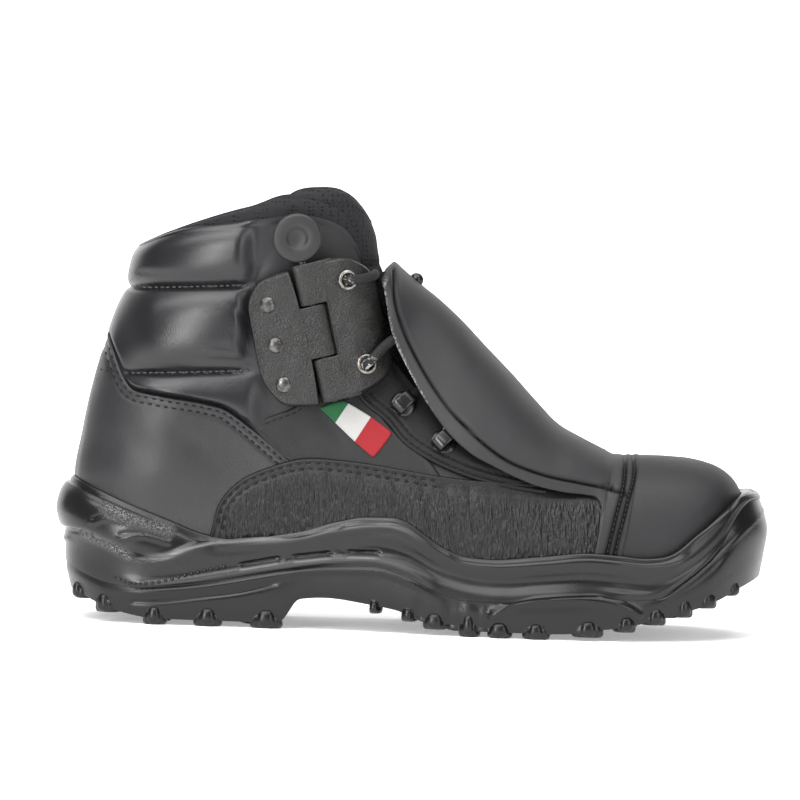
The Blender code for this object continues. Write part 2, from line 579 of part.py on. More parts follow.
def make_tongue(mat, group):
    grid = tongue_grid()
    n = -normals(grid, False)
    depth = np.maximum(wall(grid[..., 0], grid[..., 2]) + 0.7, 3.8)
    outer = grid - n * depth[..., None]
    inner = grid - n * (depth + TONGUE)[..., None]
    return sheet("tongue", outer, inner, mat, group)


def guard_grid(columns=6):
    rows = []
    for rx, rz, ex, ez, stand in GUARD_ROWS[1]:
        a = np.linspace(0, np.pi / 2, columns + 1)
        pts = np.array([ex, ez]) + (np.array([rx, rz]) - np.array([ex, ez])) * (np.cos(a) ** (2 / 2.25))[:, None]
        sides = []
        for side in (LATERAL, MEDIAL):
            w = half_width(pts[:, 0], pts[:, 1], side) * (pts[:, 1] < instep_z(pts[:, 0]))
            y = (w[-1] + GUARD + stand) * np.sin(a) ** (2 / 2.25)
            y = np.where(a > 0.15, np.maximum(y, w + GUARD + 0.8), y)
            sides.append(np.stack([pts[:, 0], swing(pts[:, 0]) + side * y, pts[:, 1]], 1))
        rows.append(np.concatenate([sides[0][::-1], sides[1][1:]]))
    return np.array(rows)


def make_guard(mat, group):
    outer = guard_grid()
    n = -normals(outer, False)
    return sheet("metatarsal_guard", outer, outer - n * GUARD, mat, group)


# ---------------------------------------------------------------- hinge, pin and fittings
def rounded_outline(corners, radius, per_corner=3):
    """A polygon with its corners rounded off."""
    out = []
    n = len(corners)
    for i in range(n):
        p, a, b = (np.array(corners[k % n], float) for k in (i, i - 1, i + 1))
        da, db = a - p, b - p
        la, lb = np.linalg.norm(da), np.linalg.norm(db)
        r = min(radius, 0.42 * la, 0.42 * lb)
        p0, p1 = p + da / la * r, p + db / lb * r
        for t in np.linspace(0, 1, per_corner):
            out.append((1 - t) ** 2 * p0 + 2 * t * (1 - t) * p + t * t * p1)
    return np.array(out)


def plate(name, corners, near, far, radius, mat, group, helper=False):
    """A leather plate that follows the outer side of the upper, from an outline in the side view."""
    loop = rounded_outline(corners, radius)
    mid = loop.mean(0)
    bm = bmesh.new()
    faces = []
    for out in (near, far):
        rows = []
        for share in (1.0, 0.5):
            pts = mid + (loop - mid) * share
            ring = []
            for x, z in pts:
                p, n, _, _ = surface_frame(x, z, LATERAL)
                ring.append(p + n * out)
            rows.append(ring_verts(bm, ring))
        p, n, _, _ = surface_frame(mid[0], mid[1], LATERAL)
        tip = bm.verts.new(Vector(p + n * out) * MM)
        for a, b in zip(rows, rows[1:]):
            skin(bm, a, b)
        for j in range(len(loop)):
            bm.faces.new((rows[-1][j], rows[-1][(j + 1) % len(loop)], tip))
        faces.append(rows[0])
    skin(bm, faces[0], faces[1])
    return put(bm, name, mat, group, helper)


def cylinder(name, radius, a, b, group, sides=14, mat=None, helper=True, flat=1.0, across=None):
    """A straight rod between two points; flat squeezes it along one direction."""
    a, b = np.array(a, float), np.array(b, float)
    bm = bmesh.new()
    bmesh.ops.create_cone(bm, cap_ends=True, segments=sides, radius1=radius * MM, radius2=radius * MM,
                          depth=float(np.linalg.norm(b - a)) * MM)
    for v in bm.verts:
        v.co.x *= flat
    bm.transform(frame_matrix((a + b) / 2, across if across is not None else (1, 0, 0.01), b - a))
    return put(bm, name, mat, group, helper)


def hinge_axis():
    """Top and bottom of the pin's line, just clear of the upper's outer side."""
    ends = []
    for x, z in (HINGE_TOP, HINGE_LOW):
        ends.append(np.array([x, 0.0, z]))
    t = np.linspace(0, 1, 9)
    xs = HINGE_TOP[0] + (HINGE_LOW[0] - HINGE_TOP[0]) * t
    zs = HINGE_TOP[1] + (HINGE_LOW[1] - HINGE_TOP[1]) * t
    out = float(half_width(xs, zs, LATERAL).max()) + KNUCKLE_R + 0.9
    for e in ends:
        e[1] = -out
    return ends


def make_hinge(leather, metal, group, cutters):
    top, low = hinge_axis()
    along = low - top
    at = lambda s: top + along * s
    leaves = {
        "front": plate("hinge_leaf_front", FRONT_LEAF, 1.1, 4.0, 9.0, leather, group),
        "rear": plate("hinge_leaf_rear", REAR_LEAF, 1.1, 4.0, 10.0, leather, group)}
    for i, (name, start, end) in enumerate(KNUCKLES[1]):
        other = "rear" if name == "front" else "front"
        first = start if start > 0 else -0.03
        last = end if end < 1 else 1.03
        room = cylinder(f"knuckle_room_{i}", KNUCKLE_R + 2.4, at(first - 0.012), at(last + 0.012), cutters, 12)
        boolean(leaves[other], room, "DIFFERENCE")
    for i, (name, start, end) in enumerate(KNUCKLES[1]):
        loop = cylinder(f"knuckle_{i}", KNUCKLE_R, at(start), at(end), cutters, 12)
        boolean(leaves[name], loop, "UNION")
    for name, leaf in leaves.items():
        boolean(leaf, cylinder(f"pin_bore_{name}", BORE_R, at(-0.2), at(1.2), cutters, 12), "DIFFERENCE")
    for i, (x, z) in enumerate(EYELETS):
        p, n, _, _ = surface_frame(x, z, LATERAL)
        boolean(leaves["front"], cylinder(f"lace_hole_{i}", 3.3, p - n * 4, p + n * 9, cutters, 12), "DIFFERENCE")
    return leaves, top, low


def make_pin(metal, group, cutters, top, low):
    """The release pin: a rod through the loops with a round, dished pull on its upper end."""
    along = (top - low) / np.linalg.norm(top - low)
    disc_mid = top + along * (DISC_R + 1.6)
    out = np.array([0.0, -1.0, 0.0])
    rod_low = low - along * 0.6
    bm = bmesh.new()
    bmesh.ops.create_cone(bm, cap_ends=True, segments=12, radius1=PIN_R * MM, radius2=PIN_R * MM,
                          depth=float(np.linalg.norm(disc_mid - rod_low)) * MM)
    bm.transform(frame_matrix((disc_mid + rod_low) / 2 - top, (0, 1, 0), along))
    # the pin's origin lies on its own line, at the upper loop
    o = put(bm, "release_pin", metal, group)
    o.location = Vector(top) * MM
    face = (Vector(out) - Vector(along) * Vector(out).dot(Vector(along))).normalized()
    prof = bmesh.new()
    r, t = DISC_R, DISC_T / 2
    line = [(0, 0.55 * t), (2.6, 0.62 * t), (4.4, 0.92 * t), (6.0, 1.02 * t), (r - 1.8, t), (r - 0.4, 0.62 * t),
            (r, 0.0), (r - 0.4, -0.62 * t), (r - 1.8, -t), (0, -t)]
    vs = [prof.verts.new(Vector((a, 0, b)) * MM) for a, b in line]
    for a, b in zip(vs, vs[1:]):
        prof.edges.new((a, b))
    mesh = bpy.data.meshes.new("pull_profile")
    prof.to_mesh(mesh)
    prof.free()
    disc = bpy.data.objects.new("pull_disc", mesh)
    cutters.objects.link(disc)
    s = disc.modifiers.new("turn", "SCREW")
    s.steps = s.render_steps = 18
    s.use_merge_vertices, s.merge_threshold = True, 0.00005
    disc.matrix_world = frame_matrix(disc_mid, along, face)
    disc.hide_render, disc.display_type = True, "WIRE"
    boolean(o, disc, "UNION")
    return o


def turned(name, line, steps, where, x_axis, z_axis, mat, group):
    """A turned piece from a profile of (radius, height) that runs down its outer side."""
    bm = bmesh.new()
    vs = [bm.verts.new(Vector((r, 0, h)) * MM) for r, h in line]
    for a, b in zip(vs, vs[1:]):
        bm.edges.new((a, b))
    if line[0][0] > 0 and line[-1][0] > 0:
        bm.edges.new((vs[-1], vs[0]))
    mesh = bpy.data.meshes.new(name)
    bm.to_mesh(mesh)
    bm.free()
    mesh.materials.append(mat)
    o = bpy.data.objects.new(name, mesh)
    group.objects.link(o)
    s = o.modifiers.new("turn", "SCREW")
    s.steps = s.render_steps = steps
    s.use_merge_vertices, s.merge_threshold = True, 0.00005
    o.matrix_world = frame_matrix(where, x_axis, z_axis)
    return o


def make_fittings(metal, black_metal, upper, group, cutters):
    for i, (x, z) in enumerate(RIVETS):
        p, n, tx, _ = surface_frame(x, z, LATERAL)
        turned(f"rivet_{i + 1}", [(0, 1.7), (1.6, 1.45), (2.8, 0.8), (3.3, 0.0), (0, 0.0)], 12, p + n * (4.0 + GAP), tx, n,
               metal, group)
    ring = [(4.5, 0.0), (2.9, 0.0), (2.9, -2.6), (2.4, -2.6), (2.5, 0.7), (3.3, 1.0), (4.2, 0.7)]
    for i, (x, z) in enumerate(EYELETS):
        p, n, tx, _ = surface_frame(x, z, LATERAL)
        turned(f"eyelet_outer_{i + 1}", ring, 10, p + n * (4.0 + GAP), tx, n, metal, group)
    for i, (x, z) in enumerate(INNER_EYELETS):
        p, n, tx, _ = surface_frame(x, z, MEDIAL)
        boolean(upper, cylinder(f"inner_lace_hole_{i}", 3.3, p - n * 9, p + n * 6, cutters, 10), "DIFFERENCE")
        turned(f"eyelet_inner_{i + 1}", ring, 10, p + n * GAP, tx, n, metal, group)
    for side, word in ((LATERAL, "outer"), (MEDIAL, "inner")):
        for i, (x, z) in enumerate(LACE_RINGS):
            p, n, tx, tz = surface_frame(x, z, side)
            # loop stands across the direction of the throat edge
            edge = tx * 0.70 - tz * 0.72
            bm = bmesh.new()
            bmesh.ops.create_cone(bm, cap_ends=True, segments=10, radius1=5.0 * MM, radius2=4.5 * MM, depth=1.2 * MM)
            bm.transform(frame_matrix(p + n * (GAP + 0.6), edge, n))
            base = put(bm, f"lace_ring_{word}_{i + 1}", black_metal, group)
            arc = np.linspace(0, np.pi, 7)
            pts = [p + n * (GAP + 0.7 + 5.8 * math.sin(a)) + edge * (3.6 * math.cos(a)) for a in arc]
            bail = tube(f"lace_ring_bail_{word}_{i}", pts, 1.2, cutters, 6)
            boolean(base, bail, "UNION")


def tube(name, points, radius, group, sides, mat=None, helper=True):
    """A closed mesh tube from a bevelled curve through the points."""
    c = bpy.data.curves.new(name, "CURVE")
    c.dimensions, c.bevel_depth, c.use_fill_caps = "3D", radius * MM, True
    c.bevel_resolution = max(0, sides // 2 - 2)
    s = c.splines.new("POLY")
    s.points.add(len(points) - 1)
    for q, p in zip(s.points, points):
        q.co = (*(Vector(p) * MM), 1)
    o = bpy.data.objects.new(name + "_line", c)
    bpy.context.scene.collection.objects.link(o)
    graph = bpy.context.evaluated_depsgraph_get()
    mesh = bpy.data.meshes.new_from_object(o.evaluated_get(graph))
    bpy.data.objects.remove(o, do_unlink=True)
    bm = bmesh.new()
    bm.from_mesh(mesh)
    bmesh.ops.remove_doubles(bm, verts=bm.verts, dist=0.00002)
    bpy.data.meshes.remove(mesh)
    return put(bm, name, mat, group, helper)


def tongue_front(x_share, z_row):
    """A point on the tongue's face: across it (-1 lateral to 1 medial) and along it by row."""
    grid = tongue_grid()
    n = -normals(grid, False)
    depth = np.maximum(wall(grid[..., 0], grid[..., 2]) + 0.7, 3.8)
    face = grid - n * depth[..., None]
    rows, cols = face.shape[:2]
    r = np.clip(z_row, 0, rows - 1.001)
    c = np.clip((x_share + 1) / 2 * (cols - 1), 0, cols - 1.001)
    i, j = int(r), int(c)
    a, b = r - i, c - j
    mix = lambda g: ((1 - a) * (1 - b) * g[i, j] + a * (1 - b) * g[i + 1, j] + (1 - a) * b * g[i, j + 1] + a * b * g[i + 1, j + 1])
    return mix(face), mix(n) / np.linalg.norm(mix(n))


def make_lace(mat, group, cutters):
    """Crossings of the lace over the tongue, joined into one piece."""
    lifts = [("cross_1a", -0.40, 2.70, 0.41, 4.26, 1.0), ("cross_1b", 0.40, 2.73, -0.42, 4.23, 4.2),
             ("cross_2a", -0.43, 4.12, 0.40, 5.50, 1.0), ("cross_2b", 0.44, 4.14, -0.41, 5.47, 4.2),
             ("bar_low", -0.45, 2.62, 0.45, 2.60, 2.6), ("bar_high", -0.46, 5.58, 0.45, 5.60, 2.6)]
    first = None
    for name, c0, r0, c1, r1, lift in lifts:
        pts = []
        for t in np.linspace(0, 1, 6):
            p, n = tongue_front(c0 + (c1 - c0) * t, r0 + (r1 - r0) * t)
            h = LACE_R + 1.2 + (lift - 1.0) * 0.5 * (1 - abs(2 * t - 1) ** 2) + 0.6
            pts.append(p + n * h)
        if first is None:
            first = tube("lace", pts, LACE_R, group, 6, mat, helper=False)
        else:
            boolean(first, tube("lace_" + name, pts, LACE_R, cutters, 6), "UNION")
    return first


# ---------------------------------------------------------------- the boot
def main():
    clear_scene()
    boot = new_collection("safety_boot")
    cutters = new_collection("cutters")
    cutters.hide_render = True
    leather = material("black_leather", (0.030, 0.030, 0.033), 0.42)
    guard_leather = material("guard_leather", (0.040, 0.040, 0.044), 0.50)
    stiff = material("hinge_leather", (0.034, 0.033, 0.032), 0.45)
    textile = material("mesh_textile", (0.028, 0.028, 0.032), 0.85)
    foam = material("footbed", (0.05, 0.05, 0.055), 0.9)
    mid_mat = material("midsole_pu", (0.034, 0.034, 0.035), 0.50)
    out_mat = material("outsole_rubber", (0.026, 0.026, 0.027), 0.55)
    metal = material("antique_metal", (0.30, 0.28, 0.26), 0.35, 1.0)
    black_metal = material("black_metal", (0.03, 0.03, 0.03), 0.30, 0.6)
    plastic = material("pull_plastic", (0.055, 0.055, 0.055), 0.55)
    cord = material("lace_cord", (0.03, 0.03, 0.03), 0.8)

    upper = make_upper(leather, boot)
    make_soles(mid_mat, out_mat, boot, cutters)
    make_insole(foam, boot)
    make_tongue(textile, boot)
    make_guard(guard_leather, boot)
    leaves, top, low = make_hinge(stiff, metal, boot, cutters)
    make_pin(plastic, boot, cutters, top, low)
    make_fittings(metal, black_metal, upper, boot, cutters)
    make_lace(cord, boot, cutters)


main()
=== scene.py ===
"""Visual model of the safety boot with an outer metatarsal guard, right foot.

The last, the sole and the guard come from the same tables as the CAD part, cut finer
here, with the panels, seams, stitches, pads, tread and surfaces added. Sizes are in
millimetres and become metres when a mesh is made.
"""

import math

import bmesh
import bpy
import numpy as np
from mathutils import Matrix, Vector


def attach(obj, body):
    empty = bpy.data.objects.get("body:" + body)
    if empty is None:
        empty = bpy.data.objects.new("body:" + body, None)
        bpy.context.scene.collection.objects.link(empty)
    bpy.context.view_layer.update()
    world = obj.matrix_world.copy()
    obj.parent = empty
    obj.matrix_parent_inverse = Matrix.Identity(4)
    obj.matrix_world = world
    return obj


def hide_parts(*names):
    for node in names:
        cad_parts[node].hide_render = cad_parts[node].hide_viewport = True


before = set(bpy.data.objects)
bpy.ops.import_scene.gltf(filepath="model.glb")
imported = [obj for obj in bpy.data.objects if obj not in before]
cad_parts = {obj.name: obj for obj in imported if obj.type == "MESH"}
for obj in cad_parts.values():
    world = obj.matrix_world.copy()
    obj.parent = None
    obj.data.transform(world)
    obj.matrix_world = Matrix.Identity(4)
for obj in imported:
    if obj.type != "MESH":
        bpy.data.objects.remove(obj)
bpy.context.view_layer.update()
rng = np.random.default_rng(7)

MM = 0.001

# ---------------------------------------------------------------- driving sizes
LEATHER = 2.4          # wall of the upper below the padded collar
PADDED = 7.0           # wall of the upper in the padded collar
GAP = 0.35             # clear space between neighbouring pieces
INSOLE = 4.0           # footbed
TONGUE = 4.5           # padded tongue
GUARD = 3.2            # metatarsal guard: leather over a moulded plate
RIM_WALL = 3.4         # sole edge that wraps up round the upper
TRAY_WALL = 2.8        # outsole edge that wraps up round the midsole
GROOVE_LOW, GROOVE_HIGH = 106.5, 144.6   # stitched grooves between the collar pads
PIN_R, DISC_R, DISC_T = 2.0, 10.5, 6.0   # release pin and its round pull
KNUCKLE_R, BORE_R = 4.9, 2.5             # leather loops round the pin
LACE_R = 2.1
LATERAL, MEDIAL = -1.0, 1.0

# ---------------------------------------------------------------- section tables
# Back of the heel, seen from the side.
HEEL_BACK = ("z x", [
    (15, -139.0), (27, -140.8), (45, -143.9), (61, -144.8), (80, -142.0), (97, -139.1),
    (111, -135.8), (124, -131.6), (136, -127.9), (146, -124.8), (162, -120.4), (190, -113.0)])
# Top line of the last from the toe up over the vamp and instep to the front of the shin,
# with the radius over which the section rounds off below that line.
INSTEP = ("x z round", [
    (139.0, 24, 40), (142.0, 36, 40), (143.6, 47, 40), (143.3, 57, 39), (141.2, 65, 38),
    (135.3, 71.5, 37), (125.0, 75.6, 36), (110.0, 77.2, 36), (96.0, 77.4, 37),
    (84.0, 77.0, 40), (73.0, 78.6, 44), (60.0, 84.0, 49), (46.0, 92.6, 56), (32.0, 102.4, 64),
    (18.0, 113.6, 72), (5.0, 125.4, 76), (-4.0, 136.0, 74), (-9.5, 146.0, 70),
    (-12.8, 156.0, 64), (-14.5, 166.0, 60), (-16.2, 178.0, 58), (-18.0, 192.0, 56)])
# Half widths of the foot at its widest level, outer and inner side, and the swing of the
# centre line towards the inner side at the toe.
FOOT = ("x outer inner swing", [
    (-150, 32.0, 32.0, 0.0), (-110, 33.5, 33.0, 0.0), (-80, 35.0, 32.5, 0.0),
    (-50, 37.5, 32.0, 0.0), (-20, 42.0, 34.0, 0.0), (10, 46.0, 39.5, 0.0),
    (40, 49.2, 46.0, 0.0), (65, 50.0, 49.5, 0.3), (85, 49.0, 50.0, 1.0),
    (105, 46.5, 47.8, 2.4), (125, 44.0, 45.0, 4.2), (150, 42.0, 43.0, 6.0)])
# Half widths of the shaft and the roundness of its back.
SHAFT = ("z outer inner back", [
    (10, 33.0, 32.0, 34.0), (45, 34.5, 33.0, 36.0), (80, 36.5, 34.5, 38.0),
    (110, 38.8, 37.0, 44.0), (145, 39.0, 38.0, 48.0), (170, 39.6, 39.0, 50.0), (195, 40.2, 40.0, 50.0)])
# Lower edge of the upper, which stands on the floor of the sole.
FEATHER = ("x z", [
    (-150, 28.0), (-110, 26.8), (-70, 25.8), (-30, 24.6), (10, 22.0), (40, 19.8), (65, 19.6),
    (90, 21.5), (112, 25.4), (130, 30.0), (150, 35.0)])
# Top edge of the sole round the upper.
RIM = ("x z", [
    (-150, 61.5), (-144.8, 60.8), (-134, 56.6), (-119, 50.6), (-104, 45.0), (-89, 39.6), (-80, 38.2),
    (-48, 42.2), (-32, 47.0), (-19, 49.6), (-8, 49.8), (-2, 48.0), (6, 43.0), (14, 37.8), (23, 34.4),
    (35, 33.6), (55, 35.4), (76, 37.4), (88, 36.8), (99, 35.8), (110, 36.8), (121, 40.4),
    (128, 45.6), (135.5, 52.6), (141.8, 59.0), (150, 64.5)])
# Line between midsole and outsole, the level of the outsole inside it, the tread and its lugs.
PARTING = ("x part inner base lug", [
    (-153, 27.0, 18.0, 17.0, 11.0), (-142, 21.0, 16.5, 13.4, 8.6), (-129, 16.8, 12.4, 8.2, 3.4),
    (-116, 15.4, 10.6, 5.4, 0.9), (-110, 15.8, 10.2, 4.6, 0.0), (-93, 17.6, 10.0, 4.5, 0.0),
    (-62, 23.4, 10.0, 4.5, 0.0), (-55, 24.8, 11.0, 4.8, 0.0), (-47, 26.2, 17.6, 13.0, 8.6),
    (-36, 27.6, 18.0, 14.0, 10.2), (-16, 28.2, 16.0, 11.8, 8.4), (-1, 24.4, 13.6, 9.2, 5.6),
    (10, 19.4, 11.4, 6.8, 2.8), (24, 15.4, 10.0, 4.5, 0.0), (40, 15.0, 9.6, 4.5, 0.0),
    (55, 17.6, 9.6, 4.5, 0.0), (66, 18.8, 10.0, 4.7, 0.0), (79, 19.4, 11.4, 6.4, 2.0),
    (94, 17.6, 12.8, 8.6, 4.3), (106, 18.6, 15.4, 11.6, 7.4), (118, 26.0, 18.4, 14.8, 10.6),
    (130, 36.0, 22.0, 18.8, 15.0), (143, 49.3, 27.0, 25.4, 21.0), (153, 58.0, 31.0, 30.0, 26.0)])
# Outline of the sole from above.
SOLE = ("x outer inner", [
    (-153, 40.0, 39.5), (-110, 40.5, 39.5), (-80, 41.0, 38.5), (-50, 42.0, 36.5), (-20, 45.5, 37.5),
    (10, 50.5, 43.5), (40, 54.6, 50.8), (65, 56.0, 54.2), (85, 55.2, 54.7), (105, 52.0, 53.4),
    (125, 49.5, 50.5), (153, 47.0, 48.0)])
# Rings of the upper, bottom to top: heel level, then the end of the ring at the front of
# the side (throat edge above the vamp) and on the centre line, and how much the ring
# follows the arch of the feather line.
RINGS = ("heel_z edge_x edge_z mid_x mid_z arch", [
    (28.2, 122.0, 27.4, 142.0, 33.0, 1.00), (34.0, 123.0, 35.0, 143.2, 41.0, 0.75),
    (45.0, 122.0, 46.0, 143.6, 51.0, 0.35), (56.0, 118.0, 57.0, 142.6, 60.5, 0.10),
    (66.0, 106.0, 65.0, 138.6, 68.2, 0.0), (74.0, 90.0, 68.5, 128.0, 74.5, 0.0),
    (81.0, 72.0, 70.0, 110.0, 77.2, 0.0), (88.0, 55.0, 73.5, 88.0, 76.9, 0.0),
    (95.0, 42.0, 79.5, 68.0, 80.6, 0.0), (101.0, 27.0, 85.5, 52.0, 88.6, 0.0),
    (106.5, 15.0, 93.0, 0, 0, 0.0), (112.0, 6.5, 100.0, 0, 0, 0.0), (120.5, -5.0, 112.0, 0, 0, 0.0),
    (130.5, -14.0, 126.0, 0, 0, 0.0), (139.0, -19.5, 137.0, 0, 0, 0.0), (144.6, -22.0, 144.0, 0, 0, 0.0)])
# Top line of the collar from heel to throat.
COLLAR = ("x z", [
    (-120.4, 162.0), (-109.0, 167.4), (-95.0, 172.3), (-72.0, 178.4), (-56.0, 180.4), (-42.0, 178.6),
    (-33.0, 174.6), (-28.0, 167.6), (-25.0, 157.4)])
# Tongue: centre line and side edge of each section.
TONGUE_ROWS = ("mid_x mid_z edge_x edge_z", [
    (52.0, 88.6, 33.0, 76.0), (40.0, 96.6, 20.0, 83.0), (26.0, 107.0, 6.0, 92.0),
    (12.0, 119.0, -8.0, 102.0), (1.0, 129.8, -20.0, 114.0), (-7.0, 141.0, -30.0, 128.0),
    (-12.0, 153.0, -38.0, 143.0), (-14.4, 165.0, -45.0, 158.0), (-16.4, 175.5, -53.0, 172.0),
    (-20.5, 182.2, -58.0, 179.0), (-26.0, 186.6, -62.0, 182.5)])
# Metatarsal guard: ridge and side edge of each section, and how far the edge stands off the
# upper, toe seam to top.
GUARD_ROWS = ("ridge_x ridge_z edge_x edge_z stand", [
    (92.0, 81.4, 87.0, 61.5, 0.8), (82.5, 82.2, 80.5, 60.8, 0.9), (73.0, 84.9, 67.0, 62.4, 1.3),
    (62.5, 90.4, 54.0, 64.8, 1.9), (52.0, 100.4, 43.0, 68.8, 2.7), (41.0, 111.6, 33.5, 73.2, 3.8),
    (30.5, 122.0, 24.5, 77.8, 5.2), (20.0, 132.4, 14.0, 86.6, 6.8), (10.5, 140.6, 4.6, 98.8, 8.6),
    (1.0, 147.8, -5.0, 115.0, 11.5), (-6.0, 153.6, -11.6, 129.5, 15.0), (-11.2, 157.9, -15.6, 148.0, 16.5)])
# Leather hinge, seen from the side: corners of each leaf and the axis of its pin.
REAR_LEAF = [(-73.6, 139.0), (-69.6, 148.6), (-49.6, 155.2), (-35.0, 99.6), (-40.0, 96.4), (-57.0, 95.2),
             (-66.0, 105.0)]
FRONT_LEAF = [(-49.6, 155.8), (-31.5, 160.6), (-20.0, 155.2), (-16.2, 141.0), (-8.4, 111.0), (-34.4, 98.2)]
HINGE_TOP, HINGE_LOW = (-49.8, 156.4), (-34.4, 98.6)
KNUCKLES = ("name start end", [("front", 0.0, 0.292), ("rear", 0.312, 0.672), ("front", 0.692, 1.0)])
RIVETS = [(-64.3, 138.5), (-60.3, 121.4), (-56.3, 104.6)]
EYELETS = [(-30.7, 150.3), (-21.4, 114.6)]
INNER_EYELETS = [(-27.5, 149.0), (-17.0, 126.0)]
LACE_RINGS = [(-5.5, 97.0), (12.5, 81.6)]


# ---------------------------------------------------------------- small tools
def column(tab, key, value):
    """Smooth curve of one named column against another, with no overshoot."""
    names, rows = tab[0].split(), np.array(tab[1], float)
    xs, ys = rows[:, names.index(key)], rows[:, names.index(value)]
    h, d = np.diff(xs), np.diff(ys) / np.diff(xs)
    m = np.concatenate([[d[0]], np.zeros(len(d) - 1), [d[-1]]])
    for k in range(1, len(d)):
        if d[k - 1] * d[k] > 0:
            a, b = 2 * h[k] + h[k - 1], h[k] + 2 * h[k - 1]
            m[k] = (a + b) / (a / d[k - 1] + b / d[k])

    def read(x):
        x = np.clip(np.asarray(x, float), xs[0], xs[-1])
        k = np.clip(np.searchsorted(xs, x) - 1, 0, len(h) - 1)
        t = (x - xs[k]) / h[k]
        return ((1 + 2 * t) * (1 - t) ** 2 * ys[k] + t * (1 - t) ** 2 * h[k] * m[k]
                + t * t * (3 - 2 * t) * ys[k + 1] + t * t * (t - 1) * h[k] * m[k + 1])

    return read


def through(points, count):
    """Evenly spaced points on a smooth curve through the given ones."""
    p = np.array(points, float)
    t = np.concatenate([[0], np.cumsum(np.sqrt((np.diff(p, axis=0) ** 2).sum(1)))])
    m = np.gradient(p, t, axis=0)
    fine = np.linspace(0, t[-1], 12 * len(p))
    k = np.clip(np.searchsorted(t, fine) - 1, 0, len(t) - 2)
    h = (t[k + 1] - t[k])[:, None]
    u = ((fine - t[k]) / (t[k + 1] - t[k]))[:, None]
    q = ((1 + 2 * u) * (1 - u) ** 2 * p[k] + u * (1 - u) ** 2 * h * m[k]
         + u * u * (3 - 2 * u) * p[k + 1] + u * u * (u - 1) * h * m[k + 1])
    s = np.concatenate([[0], np.cumsum(np.sqrt((np.diff(q, axis=0) ** 2).sum(1)))])
    want = np.linspace(0, s[-1], count)
    return np.stack([np.interp(want, s, q[:, c]) for c in range(q.shape[1])], 1)


def round_off(q, n=2.0):
    """0 at an edge, 1 from q = 1 on, rounded between as a superellipse is."""
    return (1 - (1 - np.clip(q, 0, 1)) ** n) ** (1 / n)


def step(a, b, x):
    t = np.clip((np.asarray(x, float) - a) / (b - a), 0, 1)
    return t * t * (3 - 2 * t)


def to_line(px, pz, line):
    """Distance of side-view points to a polyline, and where along it the nearest point is."""
    a, b = line[:-1, :2], line[1:, :2]
    d = b - a
    p = np.stack([np.ravel(px), np.ravel(pz)], 1)
    t = ((p[:, None, 0] - a[None, :, 0]) * d[None, :, 0] + (p[:, None, 1] - a[None, :, 1]) * d[None, :, 1])
    t = np.clip(t / (d ** 2).sum(1)[None], 0, 1)
    qx = p[:, None, 0] - (a[None, :, 0] + t * d[None, :, 0])
    qz = p[:, None, 1] - (a[None, :, 1] + t * d[None, :, 1])
    dist = np.sqrt(qx ** 2 + qz ** 2)
    k = dist.argmin(1)
    r = np.arange(len(k))
    return dist[r, k].reshape(np.shape(px)), (k + t[r, k]).reshape(np.shape(px))


heel_x = column(HEEL_BACK, "z", "x")
feather_z = column(FEATHER, "x", "z")
rim_z = column(RIM, "x", "z")
part_z, inner_z = column(PARTING, "x", "part"), column(PARTING, "x", "inner")
base_z, lug_z = column(PARTING, "x", "base"), column(PARTING, "x", "lug")
swing = column(FOOT, "x", "swing")
foot = {LATERAL: column(FOOT, "x", "outer"), MEDIAL: column(FOOT, "x", "inner")}
shaft = {LATERAL: column(SHAFT, "z", "outer"), MEDIAL: column(SHAFT, "z", "inner")}
sole = {LATERAL: column(SOLE, "x", "outer"), MEDIAL: column(SOLE, "x", "inner")}
back_round = column(SHAFT, "z", "back")
INSTEP_LINE = through(INSTEP[1], 160)
BACK_LINE = np.array([(float(heel_x(z)), z) for z in np.linspace(15, 190, 60)])
collar_z = column(COLLAR, "x", "z")


def half_width(x, z, side):
    """Half width of the last at a side-view point, on one side."""
    d_top, where = to_line(x, z, INSTEP_LINE)
    d_back, _ = to_line(x, z, BACK_LINE)
    r_top = np.interp(where, np.arange(len(INSTEP_LINE)), INSTEP_LINE[:, 2])
    up = step(70, 122, z)
    w = foot[side](x) * (1 - up) + shaft[side](z) * up
    tuck = 1 - 0.09 * np.clip(1 - (z - feather_z(x)) / 20, 0, 1) ** 2
    return w * tuck * round_off(d_top / r_top, 2.25) * round_off(d_back / back_round(z), 2.1)


def instep_z(x):
    """Height of the instep line over a point of the foot."""
    shin = INSTEP_LINE[INSTEP_LINE[:, 0].argmax():][::-1]
    return np.interp(x, shin[:, 0], shin[:, 1])


def on_last(x, z, side):
    x, z = np.asarray(x, float), np.asarray(z, float)
    return np.stack([x, swing(x) + side * half_width(x, z, side), z], -1)


def normals(grid, closed):
    """Outward normals of a grid of points; rows go up, columns go lateral to medial round the heel."""
    du = (np.roll(grid, -1, 1) - np.roll(grid, 1, 1)) if closed else np.gradient(grid, axis=1)
    dv = np.gradient(grid, axis=0)
    n = np.cross(dv, du)
    return n / np.maximum(np.linalg.norm(n, axis=-1, keepdims=True), 1e-9)


def surface_frame(x, z, side):
    """Point of the last, its outward normal, and the two directions along it."""
    e = 0.4
    p = on_last(x, z, side)
    tx = (on_last(x + e, z, side) - on_last(x - e, z, side))
    tz = (on_last(x, z + e, side) - on_last(x, z - e, side))
    n = np.cross(tx, tz) * -side
    unit = lambda v: v / np.linalg.norm(v)
    return p, unit(n), unit(tx), unit(tz)


def wall(x, z):
    """Thickness of the upper's wall."""
    return LEATHER + (PADDED - LEATHER) * step(100, 116, z) * (1 - step(-64, -38, x)) + 0.6 * step(100, 116, z)



